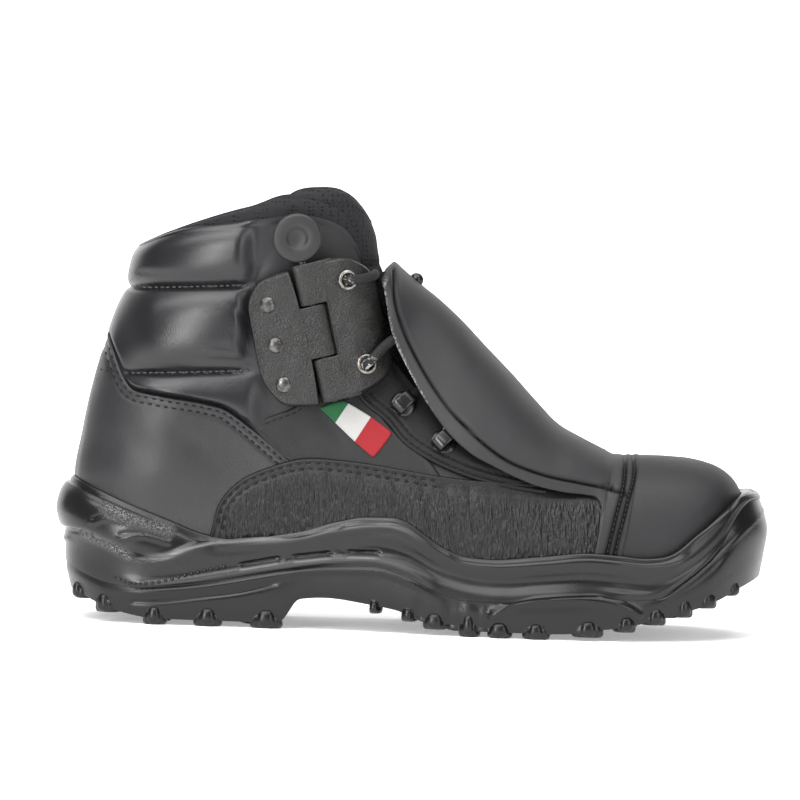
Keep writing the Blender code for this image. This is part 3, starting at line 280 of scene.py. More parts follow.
# ---------------------------------------------------------------- mesh tools
class Body:
    """Collects grids of points and the faces between them, then becomes one mesh object."""

    def __init__(self, name):
        self.name, self.count = name, 0
        self.points, self.faces, self.mats, self.marks = [], [], [], {}

    def add(self, points, **marks):
        pts = np.asarray(points, float).reshape(-1, 3)
        for key in set(marks) | set(self.marks):
            rows = self.marks.setdefault(key, [np.zeros(self.count)])
            rows.append(np.broadcast_to(np.asarray(marks.get(key, 0.0), float), np.shape(points)[:-1]).reshape(-1))
        self.points.append(pts)
        index = np.arange(self.count, self.count + len(pts)).reshape(np.shape(points)[:-1])
        self.count += len(pts)
        return index

    def quads(self, a, b, mat=0, closed=False):
        a, b = np.asarray(a), np.asarray(b)
        if closed:
            a, b = np.append(a, a[0]), np.append(b, b[0])
        q = np.stack([a[:-1], a[1:], b[1:], b[:-1]], 1)
        self.faces += q.tolist()
        self.mats += [mat] * len(q)

    def skin(self, index, mat=0, closed=False, mats=None):
        for i in range(len(index) - 1):
            self.quads(index[i], index[i + 1], mat if mats is None else mats[i], closed)

    def fan(self, ring, tip, mat=0):
        ring = list(ring)
        for a, b in zip(ring, ring[1:] + ring[:1]):
            self.faces.append([int(a), int(b), int(tip)])
            self.mats.append(mat)

    def lid(self, ring, mat=0):
        """Closes a loop that runs from the toe round the heel and back, with strips across it."""
        ring = [int(v) for v in ring]
        n = len(ring)
        for j in range(n // 2):
            four = (ring[j], ring[j + 1], ring[(n - j - 1) % n], ring[(n - j) % n])
            self.faces.append([v for i, v in enumerate(four) if v not in four[:i]])
            self.mats.append(mat)

    def done(self, materials, body="boot", slot=None, replaces=(), sharp=50, weld=0.0):
        mesh = bpy.data.meshes.new(self.name)
        mesh.from_pydata((np.concatenate(self.points) * MM).tolist(), [], self.faces)
        for m in materials:
            mesh.materials.append(m)
        mesh.polygons.foreach_set("material_index", np.array(self.mats, np.int32))
        for key, rows in self.marks.items():
            layer = mesh.attributes.new(key, "FLOAT", "POINT")
            layer.data.foreach_set("value", np.concatenate(rows).astype(np.float32))
        bm = bmesh.new()
        bm.from_mesh(mesh)
        if weld:
            bmesh.ops.remove_doubles(bm, verts=bm.verts, dist=weld * MM)
        bm.normal_update()
        bmesh.ops.recalc_face_normals(bm, faces=bm.faces)
        bm.to_mesh(mesh)
        bm.free()
        mesh.shade_smooth()
        if sharp:
            mesh.set_sharp_from_angle(angle=math.radians(sharp))
        o = bpy.data.objects.new(self.name, mesh)
        bpy.context.scene.collection.objects.link(o)
        return settle(o, body, slot, replaces)


def settle(o, body="boot", slot=None, replaces=()):
    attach(o, body)
    if replaces:
        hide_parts(*replaces)
    return o


def smooth_line(points, count):
    return through(points, count)


def unit(v):
    return v / np.maximum(np.linalg.norm(v, axis=-1, keepdims=True), 1e-9)


def near(x, z, line):
    """Distance of side-view points to a line given by a few points."""
    return to_line(x, z, through(line, 60))[0]


def signed(x, z, line):
    """Distance to a line that runs from heel to toe, positive above it."""
    pts = through(line, 60)
    d, where = to_line(x, z, pts)
    order = np.argsort(pts[:, 0])
    above = z - np.interp(x, pts[order, 0], pts[order, 1])
    return d * np.sign(above)


def ridge(d, w):
    return np.exp(-(d / w) ** 2)


def bounded(x, a, b, soft=6.0):
    """1 between a and b, fading over soft at each end."""
    return step(a - soft, a + soft, x) * (1 - step(b - soft, b + soft, x))


# ---------------------------------------------------------------- finer rings of the upper
RING_NAMES = RINGS[0].split()
_low_tab = ("k " + RINGS[0], [(i, *r) for i, r in enumerate(RINGS[1][:10])])
_all_tab = ("k " + RINGS[0], [(i, *r) for i, r in enumerate(RINGS[1])])
low_ring = {n: column(_low_tab, "k", n) for n in RING_NAMES}
all_ring = {n: column(_all_tab, "k", n) for n in ("heel_z", "edge_x", "edge_z")}
COLLAR_LINE = through([(x, z) for x, z in COLLAR[1]], 160)


def shares(n):
    s = np.linspace(1, 0, n)
    return 0.55 * (1 - np.cos(np.pi * s)) / 2 + 0.45 * s ** 1.7


def ring_line(k, u, front):
    """Side-view points of the ring at level k (0 feather, 9 throat, 15 collar seam, 16 collar top)."""
    kk = min(k, 15.0)
    heel_level = float(all_ring["heel_z"](kk))
    heel = np.array([float(heel_x(heel_level)), heel_level])
    edge = np.array([float(all_ring["edge_x"](kk)), float(all_ring["edge_z"](kk))])
    pts = heel + (edge - heel) * u[:, None]
    if k <= 9 and front:
        r = {n: float(low_ring[n](k)) for n in RING_NAMES}
        mid = np.array([r["mid_x"], r["mid_z"]])
        f = (np.arange(front) / front) ** 1.8
        pts = np.concatenate([mid + (edge - mid) * f[:, None], pts])
        line = heel[1] + (mid[1] - heel[1]) * (pts[:, 0] - heel[0]) / (mid[0] - heel[0])
        span = feather_z(heel[0]) + (feather_z(mid[0]) - feather_z(heel[0])) * (pts[:, 0] - heel[0]) / (mid[0] - heel[0])
        pts[:, 1] = line + r["arch"] * (feather_z(pts[:, 0]) - span) + (1 - r["arch"]) * (pts[:, 1] - line)
    if k > 15:
        arc = np.linspace(0, 1, 160)
        rim = np.stack([np.interp(u, arc, COLLAR_LINE[:, 0]), np.interp(u, arc, COLLAR_LINE[:, 1])], 1)
        share = leather_share(k - 15, rim[:, 0])[:, None]
        pts = pts + (rim - pts) * share
        pts[:, 0] += (float(heel_x(pts[-1, 1])) - pts[-1, 0]) * (1 - u) ** 8
    return pts


LEATHER_TOP = 0.86      # share of the rows above the collar seam that are leather, the rest is lining


def leather_share(t, x):
    """Where a row lies between collar seam and collar top: the leather stops short of the top further forward."""
    b = 0.975 - 0.105 * step(-106, -76, x) + 0.05 * step(-66, -40, x)
    return np.where(t <= LEATHER_TOP, t / LEATHER_TOP * b, b + (1 - b) * (t - LEATHER_TOP) / (1 - LEATHER_TOP))


def both_sides(pts, closed):
    lat = on_last(pts[:, 0], pts[:, 1], LATERAL)
    med = on_last(pts[:, 0], pts[:, 1], MEDIAL)
    for end in ((0, -1) if closed else (-1,)):
        lat[end, 1] = swing(lat[end, 0])
    return np.concatenate([lat, med[-2:0:-1]]) if closed else np.concatenate([lat, med[-2::-1]])


def low_grid(ks, u, front):
    return np.array([both_sides(ring_line(k, u, front), True) for k in ks])

# ---------------------------------------------------------------- lines of the upper, side view
COUNTER_TOP = [(-133.0, 124.5), (-130.3, 118.6), (-127.6, 112.4), (-125.2, 106.6), (-121.5, 100.9), (-110.7, 98.4),
               (-91.7, 95.9), (-80.1, 92.9), (-75.2, 89.6), (-62.0, 79.6), (-48.0, 68.0)]
ARC_EDGE = [(-88.0, 33.0), (-85.7, 41.0), (-82.6, 53.1), (-74.3, 62.9), (-61.6, 69.3), (-48.9, 73.2), (-27.3, 73.0),
            (-5.7, 70.3), (11.6, 67.8), (34.0, 66.0), (58.0, 65.6), (83.0, 66.5)]
QUARTER = [(-70.5, 86.2), (-62.0, 90.6), (-54.0, 93.6), (-44.0, 100.0), (-30.0, 106.0), (-22.0, 101.0), (-12.0, 89.0),
           (-3.0, 80.0), (8.0, 73.0), (14.0, 64.0), (-5.7, 66.0), (-27.3, 69.0), (-48.9, 69.5), (-58.0, 74.5)]
FACING_BACK = [(-30.0, 108.0), (-22.0, 97.0), (-12.5, 89.4), (-4.6, 80.6), (7.5, 73.4), (19.2, 68.6), (31.4, 65.0),
               (45.2, 62.4), (56.0, 61.0)]
FACING_FRONT = [(-13.0, 120.0), (-6.0, 111.0), (5.5, 99.0), (14.0, 92.0), (26.0, 84.5), (38.0, 79.0), (50.0, 75.0),
                (58.0, 73.0), (66.0, 72.0)]
# Soft folds in the leather, given one by one: from, to, half width and depth (negative stands proud).
FOLDS = [((-96.0, 114.6), (-72.0, 113.6), 1.3, 0.9), ((-90.0, 117.6), (-74.0, 117.0), 1.6, -0.5),
         ((-80.0, 139.0), (-71.0, 128.0), 1.6, 0.55), ((-78.0, 126.0), (-72.0, 116.0), 1.3, 0.4),
         ((-118.0, 149.2), (-84.0, 149.0), 1.5, 0.35), ((-116.0, 110.8), (-97.0, 110.4), 1.5, 0.35),
         ((-70.0, 151.0), (-62.0, 166.0), 2.4, 0.7), ((-66.0, 158.0), (-60.0, 172.0), 2.0, -0.4),
         ((-104.0, 85.0), (-88.0, 74.0), 5.0, 0.35), ((-122.0, 84.0), (-112.0, 70.0), 5.0, 0.3),
         ((-40.0, 92.0), (-30.0, 80.0), 3.0, 0.3), ((-52.0, 86.0), (-46.0, 78.0), 3.0, 0.3)]
VAMP_FOLDS = [((-36.0, 69.0), (-30.0, 54.0), 1.5, 0.35), ((-22.0, 68.0), (-17.0, 55.0), 1.5, 0.4),
              ((-8.0, 66.0), (-4.0, 53.0), 1.4, 0.4), ((4.0, 65.0), (9.0, 46.0), 1.5, 0.45),
              ((14.0, 63.0), (19.0, 42.0), 1.5, 0.5), ((24.0, 63.0), (28.0, 42.0), 1.5, 0.5),
              ((33.0, 62.0), (37.0, 42.0), 1.5, 0.45), ((43.0, 60.0), (46.0, 42.0), 1.5, 0.4),
              ((54.0, 58.0), (56.0, 44.0), 1.4, 0.3), ((64.0, 57.0), (65.5, 46.0), 1.4, 0.25),
              ((-58.0, 66.0), (-52.0, 52.0), 1.6, 0.3), ((-46.0, 70.0), (-41.0, 58.0), 1.4, 0.3)]

groove_low = lambda x: 106.7 + 3.5 * np.clip((x + 126.0) / 58.0, 0, 1.1)
groove_high = lambda x: 143.4 + 3.2 * np.clip((x + 122.0) / 50.0, 0, 1.1)
_edge = through(COUNTER_TOP, 90)
counter_z = lambda x: np.interp(x, _edge[:, 0], _edge[:, 1])


def folds(x, z, table):
    d = np.zeros(np.shape(x))
    for a, b, w, depth in table:
        line = np.array([a, b], float)
        dist, along = to_line(x, z, line)
        d -= depth * ridge(dist, w) * (1 - 0.5 * np.abs(2 * along - 1) ** 3)
    return d


def leather_top(x):
    """Level of the leather's upper edge at the collar."""
    return groove_high(x) + (collar_z(x) - groove_high(x)) * leather_share(LEATHER_TOP, x)


def pad_relief(x, z):
    """The three rolls of the padded collar and the stitched grooves between them."""
    g1, g2 = groove_low(x), groove_high(x)
    c = counter_z(x) - 1.0
    low = np.clip((z - c) / np.maximum(g1 - c, 1), 0, 1)
    mid = np.clip((z - g1) / (g2 - g1), 0, 1)
    high = np.clip((z - g2) / np.maximum(leather_top(x) - g2, 1), 0, 1)
    dome = lambda t, p: 1 - np.abs(2 * t - 1) ** p
    back = 0.40 + 0.60 * step(-127, -110, x)
    low_end, mid_end, top_end = (1 - step(-72, -62, x)), (1 - step(-78.5, -71.0, x)), (1 - step(-78, -69.5, x))
    puff = np.where(z < g1, 5.4 * dome(low ** 0.5, 2.0) * low_end,
                    np.where(z < g2, 5.2 * dome(mid, 3.0) * mid_end, 4.8 * dome(high, 2.8) * top_end))
    puff = puff * step(counter_z(x) - 0.5, counter_z(x) + 3.0, z)
    cut = 1.0 * (ridge(z - g1, 1.3) * (1 - step(-74, -66, x)) + ridge(z - g2, 1.3) * (1 - step(-76, -69, x)))
    return puff * back - cut * step(counter_z(x), counter_z(x) + 1.5, z)


def make_upper(leather, lining):
    u, front = shares(104), 20
    k_low = np.linspace(0, 9, 88)
    k_high = np.concatenate([np.linspace(9, 15, 60)[1:], 15 + np.linspace(0, LEATHER_TOP, 40)[1:], 15 + LEATHER_TOP + np.array([0.012, 0.04, 0.08, 0.14])])
    leather_rows = len(k_high) - 3
    low = low_grid(k_low, u, front)
    n = low.shape[1]
    keep = np.arange(front, n - front + 1)
    high = np.array([low[-1][keep]] + [both_sides(ring_line(k, u, 0), False) for k in k_high])
    n_lo, n_hi = normals(low, True), normals(high, False)
    shared = unit(n_lo[-1][keep] + n_hi[0])
    n_lo[-1][keep], n_hi[0] = shared, shared
    body = Body("upper_leather")
    mouths, soles = [], []
    for inner in (False, True):
        made = []
        for grid, nrm in ((low, n_lo), (high, n_hi)):
            x, z = grid[..., 0], grid[..., 2]
            if inner:
                d = -wall(x, z) + 0.25
            else:
                d = pad_relief(x, z) + folds(x, z, FOLDS) * (1 - step(-16, -8, x))
                if grid is high:
                    # the leather ends in a thin turned edge, the lining lies a little behind it
                    d[leather_rows - 3:leather_rows] += 0.5
                    d[leather_rows:] -= 1.0
            shine = bounded(z, 88, 200, 3) * (1 - step(-74, -60, x))
            made.append((grid + nrm * np.asarray(d)[..., None], shine))
        lo = body.add(made[0][0], shine=made[0][1])
        hi = body.add(made[1][0][1:], shine=made[1][1][1:])
        hi = np.concatenate([lo[-1][keep][None], hi])
        body.skin(lo, int(inner), True)
        body.skin(hi, mats=[1 if inner or i >= leather_rows - 1 else 0 for i in range(len(hi) - 1)])
        soles.append(lo[0])
        vamp = [lo[-1][j % n] for j in range(n - front + 1, n + front)]
        mouths.append((hi, list(hi[:, 0]), list(hi[-1][1:-1]), list(hi[::-1, -1]), vamp))
    body.quads(soles[0], soles[1], 1, True)
    loops = [np.array(m[1] + m[2] + m[3] + m[4]) for m in mouths]
    pts = np.concatenate(body.points)
    a, b = pts[loops[0]], pts[loops[1]]
    sides, rim = len(mouths[0][1]), len(mouths[0][2])
    on_rim = np.zeros(len(a))
    on_rim[sides - 14:sides + rim + 14] = 1
    on_rim = np.convolve(np.pad(on_rim, 12, "edge"), np.ones(25) / 25, "valid")
    rows = [loops[0]]
    for t in (0.14, 0.3, 0.5, 0.7, 0.86):
        lift = np.sin(np.pi * t) ** 0.8
        p = a + (b - a) * t
        p = p + np.array([0, 0, 1.0]) * (lift * (1.0 + 3.0 * step(-76, -58, p[:, 0])) * on_rim)[:, None]
        rows.append(body.add(p))
    rows.append(loops[1])
    for i, (p, q) in enumerate(zip(rows, rows[1:])):
        body.quads(p, q, 1, True)
    return body.done([leather, lining], slot="black_leather", replaces=("upper",))


# ---------------------------------------------------------------- panels laid on the upper
def laid(pts, wrap):
    """Points and outward normals of the last under a grid of side-view points."""
    grids = {}
    for side in (LATERAL, MEDIAL):
        g = on_last(pts[..., 0], pts[..., 1], side)
        if wrap:
            g[:, -1, 1] = swing(g[:, -1, 0])
        grids[side] = g
    if wrap:
        grid = np.concatenate([grids[LATERAL], grids[MEDIAL][:, -2::-1]], 1)
        both = [grid]
    else:
        both = [grids[LATERAL], grids[MEDIAL]]
    out = []
    for g in both:
        n = normals(g, False)
        centre = np.array([g[..., 0].mean(), 0.0, 60.0])
        if ((g - centre) * n).sum(-1).mean() < 0:
            n = -n
        out.append((g, n))
    return out


def edge_rows(length, step_mm=1.15):
    """Shares of a column from its foot to a rounded edge at its top."""
    near_edge = [0, 0.12, 0.32, 0.62, 1.0, 1.5, 2.2, 3.0]
    far = np.arange(4.0, length, step_mm)
    d = np.append(near_edge, far)
    return np.sort(1 - np.append(d / length, 1.0))


def panel(name, foot, top, mat, thick, base=0.0, wrap=False, both=True, ends=False, grooves=(), extra=None,
          heel=False, slot="black_leather", bead=0.3, step_mm=1.15, foot_edge=False, heel_bend=False, groove=0.5):
    """A leather panel between two side-view lines; its upper edge is rounded and beaded."""
    length = np.linalg.norm(top - foot, axis=1).max()
    v = edge_rows(length, step_mm)
    if foot_edge:
        v = np.unique(np.concatenate([v, 1 - v]))
    pts = foot[None] + (top - foot)[None] * v[:, None, None]
    if heel_bend:
        # the last column is the back of the heel itself, and the ones near it lean towards it
        z = pts[..., 1]
        chord = foot[-1, 0] + (top[-1, 0] - foot[-1, 0]) * np.clip((z - foot[-1, 1]) / (top[-1, 1] - foot[-1, 1]), 0, 1)
        f = np.linspace(0, 1, pts.shape[1])[None]
        pts[..., 0] += (heel_x(z) - chord) * f ** 6
    d = (1 - v)[:, None] * np.linalg.norm(top - foot, axis=1)[None]
    if foot_edge:
        d = np.minimum(d, v[:, None] * np.linalg.norm(top - foot, axis=1)[None])
    if ends:
        s = np.concatenate([[0], np.cumsum(np.linalg.norm(np.diff((foot + top) / 2, axis=0), axis=1))])
        d = np.minimum(d, np.minimum(s, s[-1] - s)[None])
    x, z = pts[..., 0], pts[..., 1]
    lift = base + thick * np.sqrt(np.clip(1 - (1 - np.clip(d / 0.9, 0, 1)) ** 2, 0, 1)) + bead * ridge(d - 1.3, 0.9)
    for line in grooves:
        lift = lift - groove * ridge(to_line(x, z, line)[0], 0.8)
    if extra is not None:
        lift = lift + extra(x, z) * np.clip(d / 2.5, 0, 1)
    done = []
    for i, (g, n) in enumerate(laid(pts, wrap)):
        if not both and i:
            continue
        l = np.concatenate([lift, lift[:, -2::-1]], 1) if wrap else lift
        b = Body(name if wrap or not both else name + ("_outer", "_inner")[i])
        calm = 1 - step(6.0, 11.0, np.broadcast_to(np.concatenate([d, d[:, -2::-1]], 1) if wrap else d, l.shape))
        o = b.add(g + n * l[..., None], calm=calm)
        k = b.add(g + n * (base - 0.5), calm=calm)
        b.skin(o)
        b.skin(k)
        ring = lambda r: np.concatenate([r[0], r[1:-1, -1], r[-1][::-1], r[1:-1, 0][::-1]])
        b.quads(ring(o), ring(k), 0, True)
        done.append(b.done([mat], slot=slot, sharp=60))
    return done


def patch(name, outline, mat, thick, base, side=LATERAL, corner=3.0, slot="black_leather", rings=14, bead=0.25,
          soft=0.8, marks=None, material_list=None, count=150, extra=None, bodies="boot", replaces=(), under=0.5, place=None):
    """A piece with a closed outline in the side view, rounded at its edge."""
    loop = through(np.vstack([rounded_outline(outline, corner, 7), rounded_outline(outline, corner, 7)[:1]]), count + 1)[:-1]
    mid = loop.mean(0)
    reach = np.linalg.norm(loop - mid, axis=1).mean()
    d = np.concatenate([[0, 0.1, 0.28, 0.55, 0.9, 1.4, 2.0], np.linspace(3.0, reach * 0.96, rings)])
    b = Body(name)
    outer, inner = [], []
    place = place or (lambda q: q)
    for dist in d:
        p2 = place(mid + (loop - mid) * (1 - dist / reach))
        g, n = surface_many(p2[:, 0], p2[:, 1], side)
        lift = base + thick * math.sqrt(max(0.0, 1 - (1 - min(dist / soft, 1)) ** 2)) + bead * math.exp(-((dist - 1.2) / 0.9) ** 2)
        if extra is not None:
            lift = lift + extra(p2[:, 0], p2[:, 1])
        outer.append(b.add(g + n * np.broadcast_to(lift, (len(g),))[:, None], **({} if marks is None else marks(p2))))
    core = place(mid[None])
    g, n = surface_many(core[:, 0], core[:, 1], side)
    lift = base + thick + (0 if extra is None else extra(core[:, 0], core[:, 1]))
    tip = b.add(g + n * np.broadcast_to(lift, (1,))[:, None], **({} if marks is None else marks(mid[None])))
    b.skin(np.array(outer), 0, True)
    b.fan(outer[-1], tip[0])
    for dist in (0, reach * 0.33, reach * 0.66, reach * 0.9):
        p2 = place(mid + (loop - mid) * (1 - dist / reach))
        g, n = surface_many(p2[:, 0], p2[:, 1], side)
        inner.append(b.add(g + n * (base - under)))
    g, n = surface_many(core[:, 0], core[:, 1], side)
    tip = b.add(g + n * (base - under))
    b.skin(np.array(inner), 0, True)
    b.fan(inner[-1], tip[0])
    b.quads(outer[0], inner[0], 0, True)
    return b.done(material_list or [mat], slot=slot, sharp=60, body=bodies, replaces=replaces)


def surface_many(x, z, side):
    e = 0.4
    p = on_last(x, z, side)
    tx = on_last(x + e, z, side) - on_last(x - e, z, side)
    tz = on_last(x, z + e, side) - on_last(x, z - e, side)
    return p, unit(np.cross(tx, tz) * -side)


def rounded_outline(corners, radius, per_corner=5):
    out = []
    n = len(corners)
    for i in range(n):
        p, a, b = (np.array(corners[k % n], float) for k in (i, i - 1, i + 1))
        da, db = a - p, b - p
        la, lb = np.linalg.norm(da), np.linalg.norm(db)
        r = min(radius[i] if isinstance(radius, list) else radius, 0.42 * la, 0.42 * lb)
        p0, p1 = p + da / la * r, p + db / lb * r
        for t in np.linspace(0, 1, per_corner):
            out.append((1 - t) ** 2 * p0 + 2 * t * (1 - t) * p + t * t * p1)
    return np.array(out)


def beside(line, d, count=80):
    """A line at a distance to the right of another one, seen from the side."""
    pts = through(line, count)
    t = np.gradient(pts, axis=0)
    t /= np.linalg.norm(t, axis=1, keepdims=True)
    return pts + np.stack([t[:, 1], -t[:, 0]], 1) * d


def part_of(line, a, b):
    """The stretch of a fine line between two shares of its length."""
    s = np.concatenate([[0], np.cumsum(np.linalg.norm(np.diff(line, axis=0), axis=1))])
    want = np.linspace(a * s[-1], b * s[-1], 80)
    return np.stack([np.interp(want, s, line[:, c]) for c in range(line.shape[1])], 1)


class Stitches:
    """Rows of short thread stitches, joined into one mesh."""

    def __init__(self):
        self.spots = []

    def row(self, line, lift, sides=(LATERAL, MEDIAL), pitch=3.0, long=2.25, r=0.36):
        s = np.concatenate([[0], np.cumsum(np.linalg.norm(np.diff(line, axis=0), axis=1))])
        at = np.arange(pitch * 0.5, s[-1], pitch)
        x, z = (np.interp(at, s, line[:, c]) for c in (0, 1))
        x1, z1 = (np.interp(at + 0.5, s, line[:, c]) for c in (0, 1))
        x0, z0 = (np.interp(at - 0.5, s, line[:, c]) for c in (0, 1))
        keep = x > heel_x(z) + 0.9
        x, z, x0, z0, x1, z1 = (v[keep] for v in (x, z, x0, z0, x1, z1))
        for side in sides:
            p, n = surface_many(x, z, side)
            t = unit(on_last(x1, z1, side) - on_last(x0, z0, side))
            h = lift(x, z) if callable(lift) else lift
            p = p + n * np.broadcast_to(h, x.shape)[:, None]
            self.spots += [(a, b, c, long, r) for a, b, c in zip(p, n, t)]

    def world_row(self, pts, nrm, pitch=3.0, long=2.25, r=0.36):
        s = np.concatenate([[0], np.cumsum(np.linalg.norm(np.diff(pts, axis=0), axis=1))])
        at = np.arange(pitch * 0.5, s[-1], pitch)
        read = lambda arr, w: np.stack([np.interp(w, s, arr[:, c]) for c in range(3)], 1)
        p, n, t = read(pts, at), unit(read(nrm, at)), unit(read(pts, at + 0.4) - read(pts, at - 0.4))
        self.spots += [(a, b, c, long, r) for a, b, c in zip(p, n, t)]

    def done(self, name, mat, slot):
        ang = np.arange(6) / 6 * 2 * np.pi
        prof = [(-0.5, 0.25, -0.55), (-0.36, 0.85, -0.1), (0.0, 1.0, 0.12), (0.36, 0.85, -0.1), (0.5, 0.25, -0.55)]
        b = Body(name)
        for p, n, t, long, r in self.spots:
            w = np.cross(n, t)
            jit = 1 + 0.12 * (rng.random() - 0.5)
            rings = [p + t * (a * long * jit) + n * (h * r) + (np.cos(ang)[:, None] * w + np.sin(ang)[:, None] * n) * (r * k)
                     for a, k, h in prof]
            idx = b.add(np.array(rings))
            b.skin(idx, 0, True)
            for ring in (idx[0], idx[-1]):
                b.faces.append([int(v) for v in ring])
                b.mats.append(0)
        return b.done([mat], slot=slot, sharp=0)


def make_panels(m, st, pale):
    """Heel counter, side panel, quarter and facing, with their rows of stitches."""
    counter = part_of(through(COUNTER_TOP, 120), 0.0, 1.0)
    c1, c2 = beside(counter, 2.0), beside(counter, 4.4)
    top = part_of(through(COUNTER_TOP, 160), 0, 1)
    top = through(top[::4], 80)[::-1]
    foot_x = np.interp(np.linspace(0, 1, 80), [0, 0.55, 1], [-52.0, -112.0, -143.2])
    foot = np.stack([foot_x, rim_z(foot_x) - 5.0], 1)
    top[:, 0] = np.maximum(top[:, 0], heel_x(top[:, 1]) + 0.05)
    foot[-1, 0] = heel_x(foot[-1, 1])
    top[-1, 0] = heel_x(top[-1, 1])
    # the heel is fullest a little in front of its back and draws in towards the waist
    full = lambda x, z: 2.2 * ridge(x + 108.0, 22.0) * bounded(z, 56, 92, 10)
    panel("heel_counter", foot, top, m["smooth"], 1.3, 0.15, wrap=True, grooves=(c1, c2), heel_bend=True,
          extra=lambda x, z: folds(x, z, FOLDS) + full(x, z))
    st.row(part_of(c1, 0.03, 0.97), lambda x, z: 1.2 + 0.8 * full(x, z), pitch=3.4, long=2.0, r=0.4)
    st.row(part_of(c2, 0.04, 0.97), lambda x, z: 1.2 + full(x, z), pitch=3.4, long=2.0, r=0.4)

    quarter = QUARTER
    patch("quarter_outer", quarter, m["dull"], 1.0, 0.1, LATERAL, extra=lambda x, z: folds(x, z, FOLDS))
    patch("quarter_inner", quarter, m["dull"], 1.0, 0.1, MEDIAL)
    q = through(QUARTER[:4], 40)
    st.row(beside(q, 2.0), 1.1)

    arc = through(ARC_EDGE, 160)
    a1, a2 = beside(arc, 2.3, 160), beside(arc, 4.7, 160)
    top = through(ARC_EDGE, 190)
    foot_x = np.interp(np.linspace(0, 1, 190), [0, 0.12, 0.3, 1], [-85.5, -79.0, -52.0, 83.0])
    foot = np.stack([foot_x, rim_z(foot_x) - 5.0], 1)
    panel("side_panel", foot, top, m["tumbled"], 1.9, 0.1, grooves=(a1, a2),
          extra=lambda x, z: folds(x, z, VAMP_FOLDS) + 0.9 * (1 - step(-52, -14, x)) - 1.0 * step(28, 62, x) - 0.75 * step(72, 80, x), bead=0.55, groove=0.6)
    lift = lambda x, z: 1.72 + 0.85 * (1 - step(-52, -14, x))
    st.row(part_of(a1, 0.06, 0.62), lift, pitch=4.1, long=2.2, r=0.46)
    st.row(part_of(a2, 0.05, 0.62), lift, pitch=4.1, long=2.2, r=0.46)

    back, fore = through(FACING_BACK, 90), through(FACING_FRONT, 90)
    f1, f2 = beside(FACING_BACK, -2.2, 90), beside(FACING_BACK, -4.8, 90)
    panel("facing", fore, back, m["facing"], 1.2, 1.0, grooves=(f1, f2), foot_edge=True)
    st.row(part_of(f1, 0.08, 0.95), 1.9)
    st.row(part_of(f2, 0.08, 0.95), 1.9)

    # seam across the heel tab
    tab = through([(-135.6, 107.2), (-133.6, 107.0), (-130.0, 106.8), (-127.4, 106.6)], 20)
    st.row(tab, 1.5, pitch=2.4)

    # rows in the grooves of the collar
    xs = np.linspace(-123.0, -72.0, 60)
    pale.row(np.stack([xs, groove_low(xs)], 1), -0.5, pitch=2.6, long=1.9, r=0.5)
    xs = np.linspace(-119.5, -74.0, 60)
    pale.row(np.stack([xs, groove_high(xs)], 1), -0.5, pitch=2.6, long=1.9, r=0.5)

# ---------------------------------------------------------------- sole
def sole_columns():
    s = np.linspace(1, 0, 236)
    return 0.3 * (1 - np.cos(np.pi * s)) / 2 + 0.7 * s ** 1.35, 46


def sole_stations():
    u, front = sole_columns()
    x = ring_line(0, u, front)[:, 0]
    return (x[0] - x) / (x[0] - x[-1])


def plan_ring(x_toe, x_heel, inset, z_of, toe_round=54.0, heel_round=44.0):
    u = sole_stations()
    x = x_toe + (x_heel - x_toe) * u
    end = round_off((x_toe - x) / toe_round, 2.3) * round_off((x - x_heel) / heel_round, 2.25)
    z = z_of(x)
    half = {s: np.maximum(sole[s](x) * end - inset * np.minimum(1, end * 1.6), 0) for s in (LATERAL, MEDIAL)}
    lat = np.stack([x, swing(x) - half[LATERAL], z], 1)
    med = np.stack([x, swing(x) + half[MEDIAL], z], 1)
    return np.concatenate([lat, med[-2:0:-1]])


# the bumper climbs faster round the toe and ends in a blunt top
TOE_RIM = ("x z", [(98.0, 34.6), (104.0, 36.2), (114.0, 41.4), (123.3, 47.8), (131.6, 55.4), (137.0, 60.4), (141.0, 63.0), (146.0, 63.6),
                   (151.0, 63.0), (158.0, 62.0)])
toe_z = column(TOE_RIM, "x", "z")
toe_rim = lambda x: rim_z(x) + (toe_z(np.maximum(x, 98.0)) - rim_z(x)) * step(104, 122, x)
part_v = lambda x: part_z(x) + (toe_rim(x) - 3.0 - part_z(x)) * step(128, 149, x)
drop = lambda x: 1 - bounded(x, -52.0, 0.0, 6.0)


def cup_rings():
    """Inside of the sole's edge, along the upper, and its rounded rim."""
    u, front = sole_columns()
    ks = np.linspace(0, 6, 44)
    grid = low_grid(ks, u, front)
    n = normals(grid, True)
    flat = unit(n * np.array([1, 1, 0.35]))
    over = grid[..., 2] - toe_rim(grid[..., 0])
    k = np.argmax(over > 0, 0) - 1
    j = np.arange(grid.shape[1])
    top = k + over[k, j] / (over[k, j] - over[k + 1, j])

    def at(v, out):
        i = np.minimum(v.astype(int), len(grid) - 2)
        t = (v - i)[:, None]
        return grid[i, j] * (1 - t) + grid[i + 1, j] * t + (flat[i, j] * (1 - t) + flat[i + 1, j] * t) * np.reshape(out, (-1, 1))

    clear = GAP + 0.55 * step(112, 132, grid[3, :, 0])
    down = np.array([0, 0, 1.0])
    one = np.full(len(j), 3.0)
    out = RIM_WALL + 2.2 * step(120, 144, grid[3, :, 0])
    return [at(one * 0, clear) - down * GAP, at(one, clear), at(one + (top - one) * 0.6, clear), at(top, clear * 0.7) - down * 0.9,
            at(top, np.full(len(j), 1.05)) - down * 0.75, at(top, np.full(len(j), 1.7)) - down * 0.05, at(top, out * 0.68) - down * 0.08,
            at(top, out * 0.88) - down * 0.7, at(top, out) - down * 2.2]


def between(low, high, share):
    return lambda x: low(x) + (high(x) - low(x)) * share


